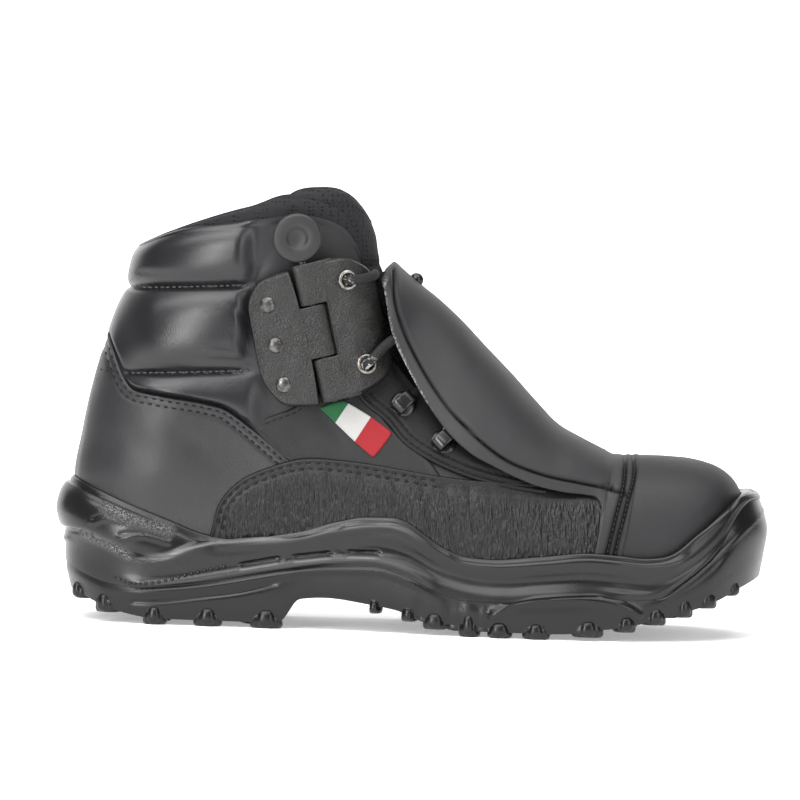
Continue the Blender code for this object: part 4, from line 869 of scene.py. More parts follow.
def blend_rows(at, rows, want):
    rows = np.array(rows)
    at = np.array(at, float)
    m = np.gradient(rows, at, axis=0)
    k = np.clip(np.searchsorted(at, want) - 1, 0, len(at) - 2)
    h = (at[k + 1] - at[k])[:, None, None]
    t = ((want - at[k]) / (at[k + 1] - at[k]))[:, None, None]
    return ((1 + 2 * t) * (1 - t) ** 2 * rows[k] + t * (1 - t) ** 2 * h * m[k]
            + t * t * (3 - 2 * t) * rows[k + 1] + t * t * (t - 1) * h * m[k + 1])


# Lines on the side of the sole.
V_LINE = [(-158.0, 38.4), (-149.7, 38.4), (-138.9, 37.6), (-128.0, 33.2), (-118.0, 29.4), (-111.5, 28.5), (-103.4, 29.6),
          (-92.0, 33.2), (-82.0, 35.4), (-69.2, 36.4), (-50.0, 38.6), (-30.7, 43.8)]
RIM_BEAD = [(-82.0, 35.4), (-48.0, 38.8), (-32.0, 43.2), (-19.0, 45.8), (-8.0, 46.0), (-2.0, 44.4), (6.0, 39.4), (14.0, 34.4),
            (23.0, 31.0), (35.0, 30.2), (55.0, 31.8), (76.0, 33.8), (88.0, 33.2), (99.0, 32.2), (110.0, 33.0),
            (121.0, 36.4), (128.0, 41.4), (135.5, 48.4), (141.8, 54.8), (150.0, 60.0)]
HOLLOW = [(-34.0, 36.0), (-14.0, 37.4), (0.0, 33.6), (10.0, 28.8), (18.5, 26.0), (30.0, 23.8), (41.8, 23.6), (55.0, 24.8),
          (75.0, 26.2), (91.7, 25.3), (103.0, 25.2), (112.0, 28.6), (122.0, 34.6), (132.0, 43.4), (140.0, 51.0)]
LOW_LEDGE = [(-126.0, 19.4), (-114.5, 17.4), (-96.0, 19.4), (-79.8, 22.6), (-55.0, 27.0), (-30.2, 30.6), (-14.0, 31.0), (0.0, 27.4),
             (10.0, 22.4)]
TOE_RIDGE = [(80.0, 21.6), (93.7, 20.2), (105.3, 20.8), (112.9, 24.4), (124.2, 32.8), (134.1, 43.0), (141.5, 50.6)]
BEADS = [(-126.2, 19.4), (-119.0, 17.4), (-112.8, 17.6), (-106.5, 18.6), (-101.3, 20.2), (-90.0, 23.4), (-79.5, 26.0)]
SLOTS = [((-71.8, 26.6), (-56.6, 29.8)), ((-49.1, 30.8), (-35.1, 32.8)), ((-26.5, 33.6), (-14.9, 33.8))]
CRESCENTS = [[(-136.0, 44.0), (-131.0, 45.8), (-124.0, 45.0)], [(-124.0, 38.0), (-116.0, 39.4), (-104.0, 37.0)]]
OUT_CREASE = [(-118.0, 9.4), (-109.0, 9.7), (-90.0, 12.4), (-68.5, 16.2), (-58.0, 19.4)]
OUT_RIDGE = [(36.0, 9.5), (38.8, 11.5), (42.6, 14.2), (59.2, 17.0), (75.0, 17.6), (86.0, 16.4), (93.0, 14.4), (98.0, 11.6)]


def mid_relief(x, z):
    """Ridges, hollows and ledges moulded into the side of the midsole."""
    d = np.zeros(np.shape(x))
    v = signed(x, z, V_LINE)
    fore = bounded(x, -104, -30, 10)
    back = 1 - step(-122, -106, x)
    # the body of the heel stands out under the ledge, the bumper lies behind it further forward
    d += fore * (1.5 * np.exp(-np.clip(-v, 0, 99) / 6.5) * (v < 0) + 1.5 * np.exp(-(np.clip(v, 0, 99) / 1.5) ** 2) * (v >= 0))
    d -= fore * 0.5 * step(0.5, 3.0, v)
    d += back * (1.2 * step(-0.8, 2.2, v) - 0.9 * ridge(v, 1.2))
    d -= 0.7 * ridge(v, 1.1) * bounded(x, -122, -100, 8)
    rim = to_line(x, z, through(RIM_BEAD, 120))[0]
    d += 1.3 * ridge(rim, 2.2) * step(-96, -70, x) * (1 - 0.65 * step(110, 124, x))
    hollow = to_line(x, z, through(HOLLOW, 90))[0]
    d -= 2.9 * ridge(hollow, 4.6) * step(-26, 10, x) * (1 - 0.85 * step(90, 112, x))
    d -= 0.7 * ridge(hollow, 3.6) * bounded(x, -36, 4, 8)
    ledge = to_line(x, z, through(LOW_LEDGE, 90))[0]
    d += 1.1 * ridge(ledge, 1.7) * bounded(x, -118, 8, 8)
    toe = to_line(x, z, through(TOE_RIDGE, 60))[0]
    d += 0.8 * ridge(toe, 1.5) * step(78, 92, x)
    for a, b in SLOTS:
        # a lens cut in with a sharp upper edge and a flat floor that looks up a little
        far, along = to_line(x, z, np.array([a, b]))
        over = (z - (a[1] + (b[1] - a[1]) * np.clip((x - a[0]) / (b[0] - a[0]), 0, 1)))
        d -= np.clip(1.6 - far / 1.15, 0, 1) * (1.3 + 0.42 * np.clip(over, -1.6, 1.6))
    for line in CRESCENTS:
        d -= 0.75 * ridge(near(x, z, line), 0.7)
        d += 0.7 * ridge(near(x, z + 1.6, line), 0.9)
    d += 0.9 * ridge(z - 34.0, 1.3) * (1 - step(-149, -144, x))
    return d


def out_relief(x, z):
    d = np.zeros(np.shape(x))
    d += 0.9 * ridge(z - (part_z(x) - 1.7), 1.5) * bounded(x, -120, 6, 8)
    d -= 0.8 * ridge(near(x, z, OUT_CREASE), 1.0)
    d += 1.2 * ridge(near(x, z, OUT_RIDGE), 1.7)
    d += 0.5 * ridge(z - (part_z(x) - 1.4), 1.2) * step(100, 112, x)
    # upright flutes between the first lugs of the forefoot
    for x0, w, deep in ((4.6, 1.4, 0.7), (17.6, 1.6, 1.1), (21.4, 1.0, 0.8), (29.6, 1.4, 1.0), (33.4, 1.2, 0.8)):
        d -= deep * ridge(x - x0, w) * (1 - step(12.0, 17.0, z))
    return d


def ellipsoid_box(b, centre, size, turn, foot_z, power=0.46, rings=11, around=22, taper=-0.10, lean=0.0):
    """A rounded block whose foot is cut flat; it narrows upwards by taper and leans in by lean."""
    sg = lambda v: np.sign(v) * np.abs(v) ** power
    lat = np.linspace(-np.pi / 2, np.pi / 2, rings)[1:-1]
    lon = np.arange(around) / around * 2 * np.pi
    x = sg(np.cos(lat))[:, None] * sg(np.cos(lon))[None] * size[0]
    y = sg(np.cos(lat))[:, None] * sg(np.sin(lon))[None] * size[1]
    z = np.broadcast_to((sg(np.sin(lat)) * size[2])[:, None], x.shape)
    a = math.radians(turn)
    grow = 1 - taper * z / size[2]
    x = x * grow
    y = y * (1 - abs(taper) * 0.3 * z / size[2]) - lean * z / size[2]
    p = np.stack([centre[0] + x * math.cos(a) - y * math.sin(a), centre[1] + x * math.sin(a) + y * math.cos(a),
                  np.maximum(centre[2] + z, foot_z)], -1)
    idx = b.add(p)
    b.skin(idx, 0, True)
    tips = b.add(np.array([[centre[0], centre[1], foot_z], [centre[0], centre[1], centre[2] + size[2]]]))
    b.fan(idx[0], tips[0])
    b.fan(idx[-1], tips[1])


# Lugs round the edge: place along the sole, length of the foot, width of the knob on the wall and its height.
EDGE_LUGS = ("x length knob tall", [
    (-143.5, 7.0, 5.0, 6.5), (-131.5, 9.0, 5.2, 7.4), (-109.0, 9.0, 5.6, 7.4), (-86.0, 11.0, 6.4, 7.4), (-61.0, 12.5, 6.4, 7.4),
    (-15.0, 4.5, 3.5, 4.6), (-0.5, 6.0, 4.0, 5.0), (10.8, 8.5, 7.0, 6.4), (25.3, 7.2, 4.6, 9.0), (38.6, 8.5, 7.6, 6.2),
    (54.2, 9.5, 6.0, 6.2), (76.6, 11.0, 6.6, 6.4), (93.0, 7.6, 6.0, 6.0), (105.6, 8.5, 6.0, 6.6), (118.0, 8.0, 5.6, 7.2),
    (128.6, 8.5, 7.0, 6.0), (140.0, 6.5, 5.0, 5.4)])
MIDDLE_LUGS = ("x share length width turn", [
    (-126, 0.0, 9, 14, 0), (-108, -0.24, 10, 15, 18), (-108, 0.24, 10, 15, -18), (-88, -0.24, 10, 15, 18),
    (-88, 0.24, 10, 15, -18), (-68, -0.24, 10, 15, 18), (-68, 0.24, 10, 15, -18),
    (20, -0.27, 9, 21, 18), (20, 0.27, 9, 21, -18), (38, -0.27, 9, 22, 18), (38, 0.27, 9, 22, -18),
    (56, -0.27, 9, 22, 18), (56, 0.27, 9, 22, -18), (74, -0.27, 9, 22, 18), (74, 0.27, 9, 22, -18),
    (92, -0.27, 9, 21, 18), (92, 0.27, 9, 21, -18), (110, -0.27, 9, 17, 18), (110, 0.27, 9, 17, -18),
    (128, 0.0, 8, 24, 0)])


def edge_half(x, side):
    return float(sole[side](x) * round_off((150.8 - x) / 54.0, 2.3) * round_off((x + 147.6) / 44.0, 2.25))


def lug_bodies():
    """Feet of all lugs, and the knobs that stand on the wall over the ones at the edge."""
    feet, knobs = Body("lug_feet"), Body("lug_knobs")
    for x, length, knob, tall in EDGE_LUGS[1]:
        for side in (LATERAL, MEDIAL):
            half = edge_half(x, side)
            slope = side * (edge_half(x + 1.5, side) - edge_half(x - 1.5, side)) / 3.0
            turn = math.degrees(math.atan(slope))
            inward = np.array([math.sin(math.radians(turn)), -math.cos(math.radians(turn))]) * side
            wide = 6.4 if abs(x) < 128 else 5.2
            foot_z = float(lug_z(x))
            spot = np.array([x, float(swing(x)) + side * half])
            c = spot + inward * (wide - 0.2)
            ellipsoid_box(feet, (c[0], c[1], foot_z + 3.2), (length * (0.62 if x > 0 else 0.56), wide, 4.2), turn, foot_z, 0.66, 13, 30, taper=0.10)
            c = spot + inward * (3.2 - 1.3)
            knob = max(knob, 0.62 * length)
            ellipsoid_box(knobs, (c[0], c[1], foot_z + tall / 2 + 0.4), (knob / 2, 3.2, tall / 2 + 0.25), turn, foot_z + 0.4, 0.74, 15, 28, taper=0.16)
    for x, share, length, width, turn in MIDDLE_LUGS[1]:
        half = float(sole[LATERAL if share < 0 else MEDIAL](x))
        y = float(swing(x)) + share * half
        foot_z = float(lug_z(x))
        ellipsoid_box(feet, (x, y, foot_z + 3.9), (length / 2, width / 2, 4.6), turn, foot_z, 0.36, 9, 20)
    return feet, knobs


def make_soles(mid_mat, out_mat):
    cup = cup_rings()
    up = lambda f: (lambda x: f(x) + 1.5 * GAP)
    want = np.linspace(0, 1, 52)
    wall_rows = blend_rows([0, 0.32, 0.58, 0.80, 1.0],
                           [plan_ring(150.2, -149.2, 0.45, lambda x: part_v(x) + 0.12), plan_ring(150.4, -149.9, 0.4, between(part_v, toe_rim, 0.32)),
                            plan_ring(150.0, -152.5, 0.2, between(part_v, toe_rim, 0.58)),
                            plan_ring(149.2, -151.0, 1.2, between(part_v, toe_rim, 0.80)), cup[8]], want)
    n = normals(wall_rows, True)
    hold = (step(0.0, 0.06, want) * (1 - step(0.93, 1.0, want)))[:, None]
    x, z = wall_rows[..., 0], wall_rows[..., 2]
    d = mid_relief(x, z) * hold
    speck = np.clip(0.75 * ridge(near(x, z, [(-130.0, 48.6), (-118.0, 44.2), (-104.0, 40.4)]), 2.6)
                    + 1.25 * ridge(near(x, z, [(-140.0, 37.4), (-130.0, 33.8), (-120.5, 29.2)]), 1.9), 0, 1) * (x < -96)
    v = signed(x, z, V_LINE)
    rim = to_line(x, z, through(RIM_BEAD, 120))[0]
    low = to_line(x, z, through(LOW_LEDGE, 90))[0]
    # painted highlight: pale marks the crests of the V ledge, the rim bead, the low ledge and the lower lips of the
    # slots, where the base colour is made lighter as if lit from above
    pale = 0.9 * ridge(v - 0.7, 0.9) * bounded(x, -112, -78, 6) + 0.8 * ridge(rim, 0.9) * bounded(x, -84, 0, 8) + 0.35 * ridge(low, 0.8) * bounded(x, -112, 6, 8)
    for p, q in SLOTS:
        pale = pale + 0.9 * ridge(to_line(x, z + 1.5, np.array([p, q]))[0], 0.6)
    pale = np.clip(pale, 0, 1)
    b = Body("midsole_side")
    inner = [plan_ring(149.0 - TRAY_WALL - GAP, -149.6 + TRAY_WALL + GAP, TRAY_WALL + GAP, up(inner_z)),
             plan_ring(149.0 - TRAY_WALL - GAP, -149.6 + TRAY_WALL + GAP, TRAY_WALL + GAP, up(part_z))]
    under = b.add(np.array(inner))
    side = b.add(wall_rows + n * d[..., None], speck=speck, pale=pale)
    top = b.add(np.array(cup[7::-1]))
    rows = np.concatenate([under, side, top])
    b.skin(rows, 0, True)
    b.lid(rows[0])
    b.lid(rows[-1])
    b.done([mid_mat], slot="midsole_pu", replaces=("midsole",), sharp=55)

    # a row of small beads under the heel's side
    skin = (wall_rows + n * d[..., None])[:, : wall_rows.shape[1] // 2 + 1]
    b = Body("sole_beads")
    for line, pitch, r in ((BEADS[:3], 1.75, 0.72), (BEADS[2:], 2.6, 0.85)):
        for x0, z0 in through(line, int(np.linalg.norm(np.array(line[0]) - np.array(line[-1])) / pitch)):
            far = (skin[..., 0] - x0) ** 2 + (skin[..., 2] - z0) ** 2
            i, j = np.unravel_index(far.argmin(), far.shape)
            c = np.array([x0, skin[i, j, 1] - 0.15, z0])
            for mirror in (1.0, -1.0):
                y = c[1] if mirror > 0 else float(swing(x0)) + (float(swing(x0)) - c[1]) * float(sole[MEDIAL](x0) / sole[LATERAL](x0))
                turn_into(b, [(0, r), (r * 0.6, r * 0.8), (r * 0.95, r * 0.3), (r * 0.95, -r * 0.3), (r * 0.6, -r * 0.8), (0, -r)],
                          (c[0], y, c[2]), (0.0, -1.0, 0.0), 10)
    b.done([mid_mat], slot="midsole_pu", sharp=0)

    want = np.linspace(0, 1, 34)
    wall_rows = blend_rows([0, 0.32, 0.72, 1.0],
                           [plan_ring(151.4, -146.4, 1.2, lambda x: base_z(x) - 2.0 * drop(x)), plan_ring(153.0, -147.6, 0.4, between(base_z, part_v, 0.24)),
                            plan_ring(153.9, -148.6, 0.0, between(base_z, part_v, 0.66)), plan_ring(150.4, -148.8, 0.35, part_v)], want)
    n = normals(wall_rows, True)
    x, z = wall_rows[..., 0], wall_rows[..., 2]
    d = out_relief(x, z) * (step(0.0, 0.12, want) * (1 - step(0.95, 1.0, want)))[:, None]
    b = Body("outsole_tread")
    under = b.add(np.array([plan_ring(143.6, -139.8, 8.2, base_z), plan_ring(146.8, -143.0, 4.8, lambda x: base_z(x) - 0.5 * drop(x)),
                            plan_ring(149.0, -145.2, 2.5, lambda x: base_z(x) - 1.7 * drop(x))]))
    side = b.add(wall_rows + n * d[..., None])
    top = b.add(np.array([plan_ring(149.0 - TRAY_WALL, -149.6 + TRAY_WALL, TRAY_WALL, part_z),
                          plan_ring(149.0 - TRAY_WALL, -149.6 + TRAY_WALL, TRAY_WALL, inner_z)]))
    rows = np.concatenate([under, side, top])
    b.skin(rows, 0, True)
    b.lid(rows[0])
    b.lid(rows[-1])
    o = b.done([out_mat], slot="outsole_rubber", replaces=("outsole",), sharp=55)
    helpers = []
    for lugs in lug_bodies():
        mesh = bpy.data.meshes.new(lugs.name)
        mesh.from_pydata((np.concatenate(lugs.points) * MM).tolist(), [], lugs.faces)
        bm = bmesh.new()
        bm.from_mesh(mesh)
        bmesh.ops.remove_doubles(bm, verts=bm.verts, dist=0.00001)
        bmesh.ops.dissolve_degenerate(bm, edges=bm.edges, dist=0.00001)
        bm.normal_update()
        bmesh.ops.recalc_face_normals(bm, faces=bm.faces)
        bm.to_mesh(mesh)
        bm.free()
        mesh.shade_smooth()
        mesh.materials.append(out_mat)
        helper = bpy.data.objects.new(lugs.name, mesh)
        bpy.context.scene.collection.objects.link(helper)
        mod = o.modifiers.new(lugs.name, "BOOLEAN")
        mod.object, mod.operation, mod.solver = helper, "UNION", "EXACT"
        helpers.append(helper)
    graph = bpy.context.evaluated_depsgraph_get()
    joined = bpy.data.meshes.new_from_object(o.evaluated_get(graph))
    o.modifiers.clear()
    o.data = joined
    joined.shade_smooth()
    joined.set_sharp_from_angle(angle=math.radians(50))
    for helper in helpers:
        bpy.data.objects.remove(helper, do_unlink=True)


def make_insole(mat):
    u, front = shares(70), 14
    grid = low_grid(np.linspace(0, 1, 4), u, front)
    n = normals(grid, True)[0] * np.array([1, 1, 0])
    edge = grid[0] - unit(n) * (LEATHER + 0.9)
    mid = np.array([edge[:, 0].mean(), 0, 0])
    b = Body("footbed")
    rows = []
    for share, z in ((0.985, 0.25), (1.0, 0.9), (1.0, INSOLE - 1.0), (0.99, INSOLE - 0.2), (0.97, INSOLE), (0.85, INSOLE + 0.1),
                     (0.6, INSOLE - 0.2), (0.3, INSOLE - 0.5)):
        p = edge.copy()
        p[:, 1] = swing(p[:, 0]) + (p[:, 1] - swing(p[:, 0])) * share
        rows.append(b.add(p + np.array([0, 0, z])))
    rows = np.array(rows)
    b.skin(rows, 0, True)
    b.lid(rows[0])
    b.lid(rows[-1])
    return b.done([mat], slot="footbed", replaces=("insole",))

# ---------------------------------------------------------------- guard, tongue
# Guard with its band down to the sole: ridge, edge and stand-off at the edge, from the toe seam to the top.
GUARD_FINE = ("ridge_x ridge_z edge_x edge_z stand", [
    (97.4, 79.0, 88.8, 33.2, -1.5), (93.4, 79.2, 84.4, 33.2, -1.5), (89.8, 79.6, 78.6, 33.6, -1.5), (88.2, 79.9, 79.2, 41.5, -1.5),
    (86.6, 80.3, 80.4, 49.5, -1.4), (85.2, 80.7, 81.0, 56.0, -1.0), (83.2, 81.5, 79.0, 60.4, 0.4), (79.6, 82.8, 73.8, 61.8, 1.5),
    (72.4, 85.6, 67.0, 62.4, 2.1), (62.5, 90.2, 54.0, 64.8, 2.4), (52.8, 99.2, 43.0, 68.8, 2.7), (41.6, 110.9, 33.5, 73.2, 3.8),
    (30.6, 121.6, 24.5, 77.8, 5.2), (20.0, 132.2, 14.0, 86.6, 6.8), (10.4, 140.8, 4.6, 98.8, 8.6),
    (1.0, 148.0, -5.0, 115.0, 11.5), (-6.0, 153.6, -11.6, 129.5, 15.0), (-11.2, 157.9, -15.6, 148.0, 16.5)])
SEAM_A = [(91.2, 77.6), (90.2, 66.6), (86.6, 51.2), (83.9, 39.0), (82.8, 33.0)]
SEAM_B = [(94.6, 77.6), (94.8, 71.5), (92.0, 59.5), (87.9, 42.0), (86.2, 33.0)]
instep_x = lambda z: np.interp(z, INSTEP_LINE[60:, 1], INSTEP_LINE[60:, 0])
GUARD_CREASE = [(-11.1, 154.5), (-9.8, 141.0), (-4.1, 125.2), (2.7, 112.8), (13.2, 98.1), (28.0, 83.7), (39.7, 75.6),
                (55.2, 70.0), (70.6, 67.0), (84.0, 64.6), (91.0, 63.0)]


def guard_edge_line():
    rows = np.array(GUARD_FINE[1])
    return through(rows[:, 2:4], 200)


def make_guard(mat, stud_mat, st):
    rows = through([(*r, 3.0 * i) for i, r in enumerate(GUARD_FINE[1])], 176)
    edge = np.vstack([rows[0, 0:2], rows[:, 2:4], rows[-1, 0:2]])
    crease = through(GUARD_CREASE, 90)
    columns, raw, depth = [], [], []
    for rx, rz, ex, ez, stand, t in rows:
        t /= 3.0
        a = np.linspace(0, np.pi / 2, 160)
        shape = np.cos(a) ** (2 / 2.25)
        free = np.array([ex, ez]) + (np.array([rx, rz]) - np.array([ex, ez])) * shape[:, None]
        blend = float(step(3.4, 10.0, t))
        top = float(instep_z(rx))
        down = np.array([ex, ez]) + (np.array([rx, top]) - np.array([ex, ez])) * shape[:, None]
        sides = []
        for side in (LATERAL, MEDIAL):
            w = half_width(free[:, 0], free[:, 1], side) * (free[:, 1] < instep_z(free[:, 0]))
            y = (w[-1] + GUARD + stand) * np.sin(a) ** (2 / 2.25)
            y = np.where(a > 0.12, np.maximum(y, w + GUARD + 0.8 * step(0.12, 0.4, a)), y)
            open_curve = np.stack([free[:, 0], swing(free[:, 0]) + side * y, free[:, 1]], 1)
            p, n = surface_many(down[:, 0], down[:, 1], side)
            p[0, 1] = swing(p[0, 0])
            n[0] = (0, 0, 1)
            close_curve = p + n * (0.2 + 1.1 * np.sin(a) ** 0.8)[:, None]
            curve = close_curve + (open_curve - close_curve) * blend
            s = np.concatenate([[0], np.cumsum(np.linalg.norm(np.diff(curve[::-1], axis=0), axis=1))])
            lead = np.array([0, 0.14, 0.36, 0.7, 1.15, 1.7, 2.5, 3.3, 4.1, 4.7, 5.2, 5.7, 6.2, 6.8, 7.6])
            want = np.append(lead, np.linspace(8.8, s[-1], 34))
            c = np.stack([np.interp(want, s, curve[::-1][:, k]) for k in range(3)], 1)
            sides.append(c)
        columns.append(np.concatenate([sides[0], sides[1][-2::-1]]))
        depth.append(1.15 + (GUARD - 1.15) * blend)
    grid = np.array(columns)
    n = normals(grid, False)
    if ((grid - np.array([40.0, 0.0, 40.0])) * n).sum(-1).mean() < 0:
        n = -n
    x, z = grid[..., 0], grid[..., 2]
    d = to_line(x, z, edge)[0]
    # the ridge row ends are the middle of the piece, not an edge, so only rows near the ends count there
    thick = np.array(depth)[:, None]
    r = 1.15
    fall = r * (1 - np.sqrt(np.clip(1 - (1 - np.clip(d / r, 0, 1)) ** 2, 0, 1)))
    fold = to_line(x, z, crease)[0]
    lift = -0.6 * fall - 0.95 * ridge(fold, 0.62) + 0.25 * ridge(fold - 1.7, 1.0)
    seams = [through(SEAM_A, 60), through(SEAM_B, 60)]
    for line in seams:
        lift = lift - 0.7 * ridge(to_line(x, z, line)[0], 1.15)
    # a long soft bow and a few shallow dents, as the worn flap has
    dents = [((20, 118), (60, 84), 9.0, 0.5), ((-2, 138), (14, 112), 5.0, 0.35), ((50, 92), (66, 72), 6.0, 0.3)]
    lift = lift + folds(x, z, dents) * np.clip(d / 8, 0, 1)
    mark = np.clip(1.35 - d / 0.85, 0, 1) * step(92, 106, z) * (1 - step(148, 153, z)) * (grid[..., 1] < 20)
    # painted shade: along the crease fold and the two toe seams the colour is darkened and the reflection taken away,
    # as in grooves that lie in shade
    dark = np.clip(ridge(fold, 0.75) + 1.2 * sum(ridge(to_line(x, z, line)[0], 1.15) for line in seams), 0, 1)
    b = Body("metatarsal_flap")
    o = b.add(grid + n * lift[..., None], raw=mark, dark=dark)
    k = b.add(grid - n * (thick - 0.4 * fall)[..., None], raw=mark, dark=dark * 0)
    b.skin(o)
    b.skin(k)
    ring = lambda q: np.concatenate([q[0], q[1:-1, -1], q[-1][::-1], q[1:-1, 0][::-1]])
    b.quads(ring(o), ring(k), 0, True)
    b.done([mat], slot="guard_leather", replaces=("metatarsal_guard",), sharp=60)
    for fine in seams:
        for side in (LATERAL, MEDIAL):
            low = fine[fine[:, 1] < 74.5]
            p, nn = surface_many(low[:, 0], low[:, 1], side)
            st.world_row(p + nn * 1.0, nn, pitch=2.4, long=2.0, r=0.42)
    # small stud at the top of the flap's ridge
    b = Body("flap_stud")
    dome = [(0, 3.0), (1.2, 2.75), (2.2, 2.1), (2.9, 1.1), (3.1, 0.0), (2.9, -1.1), (2.2, -2.1), (0, -2.6)]
    turn_into(b, dome, (-1.2, 0.0, 150.0), (0.55, 0.0, 0.83), 28)
    b.done([stud_mat], slot="black_metal", sharp=0)


# The tongue's upper rows: it bends back over the collar and ends in an arch.
TONGUE_TOP = [(-14.4, 162.0, -44.0, 154.0), (-15.6, 169.0, -49.0, 163.0), (-17.6, 174.6, -55.0, 172.0), (-20.4, 181.4, -62.0, 177.5)]


def tongue_rows(count, across):
    rows = through(list(TONGUE_ROWS[1][:7]) + TONGUE_TOP, count)
    out = []
    for i, (mx, mz, ex, ez) in enumerate(rows):
        k = (np.arange(across + 1) / across) ** 1.45
        pts = np.array([mx, mz]) + (np.array([ex, ez]) - np.array([mx, mz])) * k[:, None]
        pts[:, 1] += 9.4 * (1 - np.abs(2 * k - 1) ** 3.2) * step(0.72, 1.0, i / (count - 1))
        # where the tongue bends back from the front of the shin its section goes back with it
        back = max(0.0, float(instep_x(mz)) - mx) * (1 - k)
        sides = []
        for side in (LATERAL, MEDIAL):
            p = on_last(pts[:, 0] + back, pts[:, 1], side)
            p[:, 0] = pts[:, 0]
            p[0, 1] = 0.0
            sides.append(p)
        out.append(np.concatenate([sides[0][::-1], sides[1][1:]]))
    return np.array(out)


def make_tongue(mat, st):
    grid = tongue_rows(120, 34)
    n = -normals(grid, False)
    depth = np.maximum(wall(grid[..., 0], grid[..., 2]) + 0.7, 3.8)
    r, c = grid.shape[:2]
    i, j = np.linspace(0, 1, r)[:, None], np.linspace(-1, 1, c)[None]
    edge = np.minimum(np.minimum((1 - np.abs(j)) * 34, (1 - i) * 90), 3.0 + i * 90) * np.ones((r, c))
    full = np.sqrt(np.clip(1 - (1 - np.clip(edge / 5.0, 0, 1)) ** 2, 0, 1))
    quilt = 0.5 * ridge(i * 110 - 84, 1.2) + 0.5 * ridge(i * 110 - 62, 1.2)
    half = TONGUE / 2
    mid = grid - n * (depth + half)[..., None]
    b = Body("tongue_pad")
    o = b.add(mid + n * (half * (0.16 + 0.84 * full) - quilt * (np.abs(j) < 0.86))[..., None])
    k = b.add(mid - n * (half * (0.16 + 0.84 * full))[..., None])
    b.skin(o)
    b.skin(k)
    ring = lambda q: np.concatenate([q[0], q[1:-1, -1], q[-1][::-1], q[1:-1, 0][::-1]])
    b.quads(ring(o), ring(k), 0, True)
    made = b.done([mat], slot="mesh_textile", replaces=("tongue",), sharp=0)
    face = mid + n * (half * (0.16 + 0.84 * full))[..., None]
    st.world_row(face[-7, 3:-3], n[-7, 3:-3], pitch=2.6, long=1.8, r=0.30)
    st.world_row((mid - n * (half * (0.16 + 0.84 * full))[..., None])[-7, 3:-3], -n[-7, 3:-3], pitch=2.6, long=1.8, r=0.30)
    return face, n


def tongue_point(face, n, share, row):
    """A point on the tongue's face: across it (-1 lateral to 1 medial), along it by row of its table."""
    i = np.clip(row / (len(TONGUE_ROWS[1]) - 1), 0, 0.999) * (len(face) - 1)
    j = np.clip((share + 1) / 2, 0, 0.999) * (face.shape[1] - 1)
    a, b = int(i), int(j)
    return face[a, b], n[a, b]


# ---------------------------------------------------------------- tubes and turned pieces
def tube_into(b, points, radius, sides=12, count=60, mat=0, ends=True):
    """A round cord through the points, with rounded ends, added to a body."""
    pts = through(points, count)
    t = unit(np.gradient(pts, axis=0))
    ref = np.array([0.0, 0.0, 1.0]) if abs(t[0, 2]) < 0.9 else np.array([1.0, 0.0, 0.0])
    u = unit(np.cross(t[0], ref))
    frames = []
    for k in range(len(pts)):
        u = unit(u - t[k] * (u @ t[k]))
        frames.append((u, np.cross(t[k], u)))
    ang = np.arange(sides) / sides * 2 * np.pi
    rad = np.full(len(pts), radius)
    rings = [p + (np.cos(ang)[:, None] * f[0] + np.sin(ang)[:, None] * f[1]) * r for p, f, r in zip(pts, frames, rad)]
    s = np.concatenate([[0], np.cumsum(np.linalg.norm(np.diff(pts, axis=0), axis=1))])
    lap = np.broadcast_to((ang / (2 * np.pi))[None], (len(pts), sides))
    caps = []
    for end, sign in ((0, -1), (-1, 1)):
        extra = []
        for q in (0.35, 0.7, 0.92):
            extra.append(pts[end] + t[end] * sign * radius * q * 0.7
                         + (np.cos(ang)[:, None] * frames[end][0] + np.sin(ang)[:, None] * frames[end][1]) * radius * math.sqrt(1 - q * q))
        caps.append(extra)
    allr = np.array(caps[0][::-1] + rings + caps[1])
    runs = np.concatenate([[0, 0, 0], s, [s[-1]] * 3])
    idx = b.add(allr, run=np.broadcast_to(runs[:, None], allr.shape[:2]), lap=np.broadcast_to((ang / (2 * np.pi))[None], allr.shape[:2]))
    b.skin(idx, mat, True)
    tips = b.add(np.array([pts[0] - t[0] * radius * 0.7, pts[-1] + t[-1] * radius * 0.7]), run=np.array([0.0, s[-1]]))
    b.fan(idx[0], tips[0], mat)
    b.fan(idx[-1], tips[1], mat)


def turn_into(b, line, origin, axis, steps=40, mat=0, **marks):
    """A turned solid from a profile of (radius, height); a profile that starts and ends at 0 is closed by itself."""
    z = unit(np.array(axis, float))
    x = unit(np.cross(z, [0.3, 0.1, 1.0]))
    y = np.cross(z, x)
    ang = np.arange(steps) / steps * 2 * np.pi
    rows, tips = [], {}
    for k, (r, h) in enumerate(line):
        if r <= 1e-6:
            tips[k] = b.add((np.array(origin) + z * h)[None], **marks)[0]
            rows.append(None)
        else:
            rows.append(b.add(np.array(origin) + z * h + (np.cos(ang)[:, None] * x + np.sin(ang)[:, None] * y) * r, **marks))
    for k in range(len(line) - 1):
        if rows[k] is None:
            b.fan(rows[k + 1], tips[k], mat)
        elif rows[k + 1] is None:
            b.fan(rows[k], tips[k + 1], mat)
        else:
            b.quads(rows[k], rows[k + 1], mat, True)
    if rows[0] is not None and rows[-1] is not None:
        b.quads(rows[-1], rows[0], mat, True)


# ---------------------------------------------------------------- hinge
def hinge_ends():
    t = np.linspace(0, 1, 9)
    xs = HINGE_TOP[0] + (HINGE_LOW[0] - HINGE_TOP[0]) * t
    zs = HINGE_TOP[1] + (HINGE_LOW[1] - HINGE_TOP[1]) * t
    out = float(half_width(xs, zs, LATERAL).max()) + KNUCKLE_R + 0.9
    return np.array([HINGE_TOP[0], -out, HINGE_TOP[1]]), np.array([HINGE_LOW[0], -out, HINGE_LOW[1]])


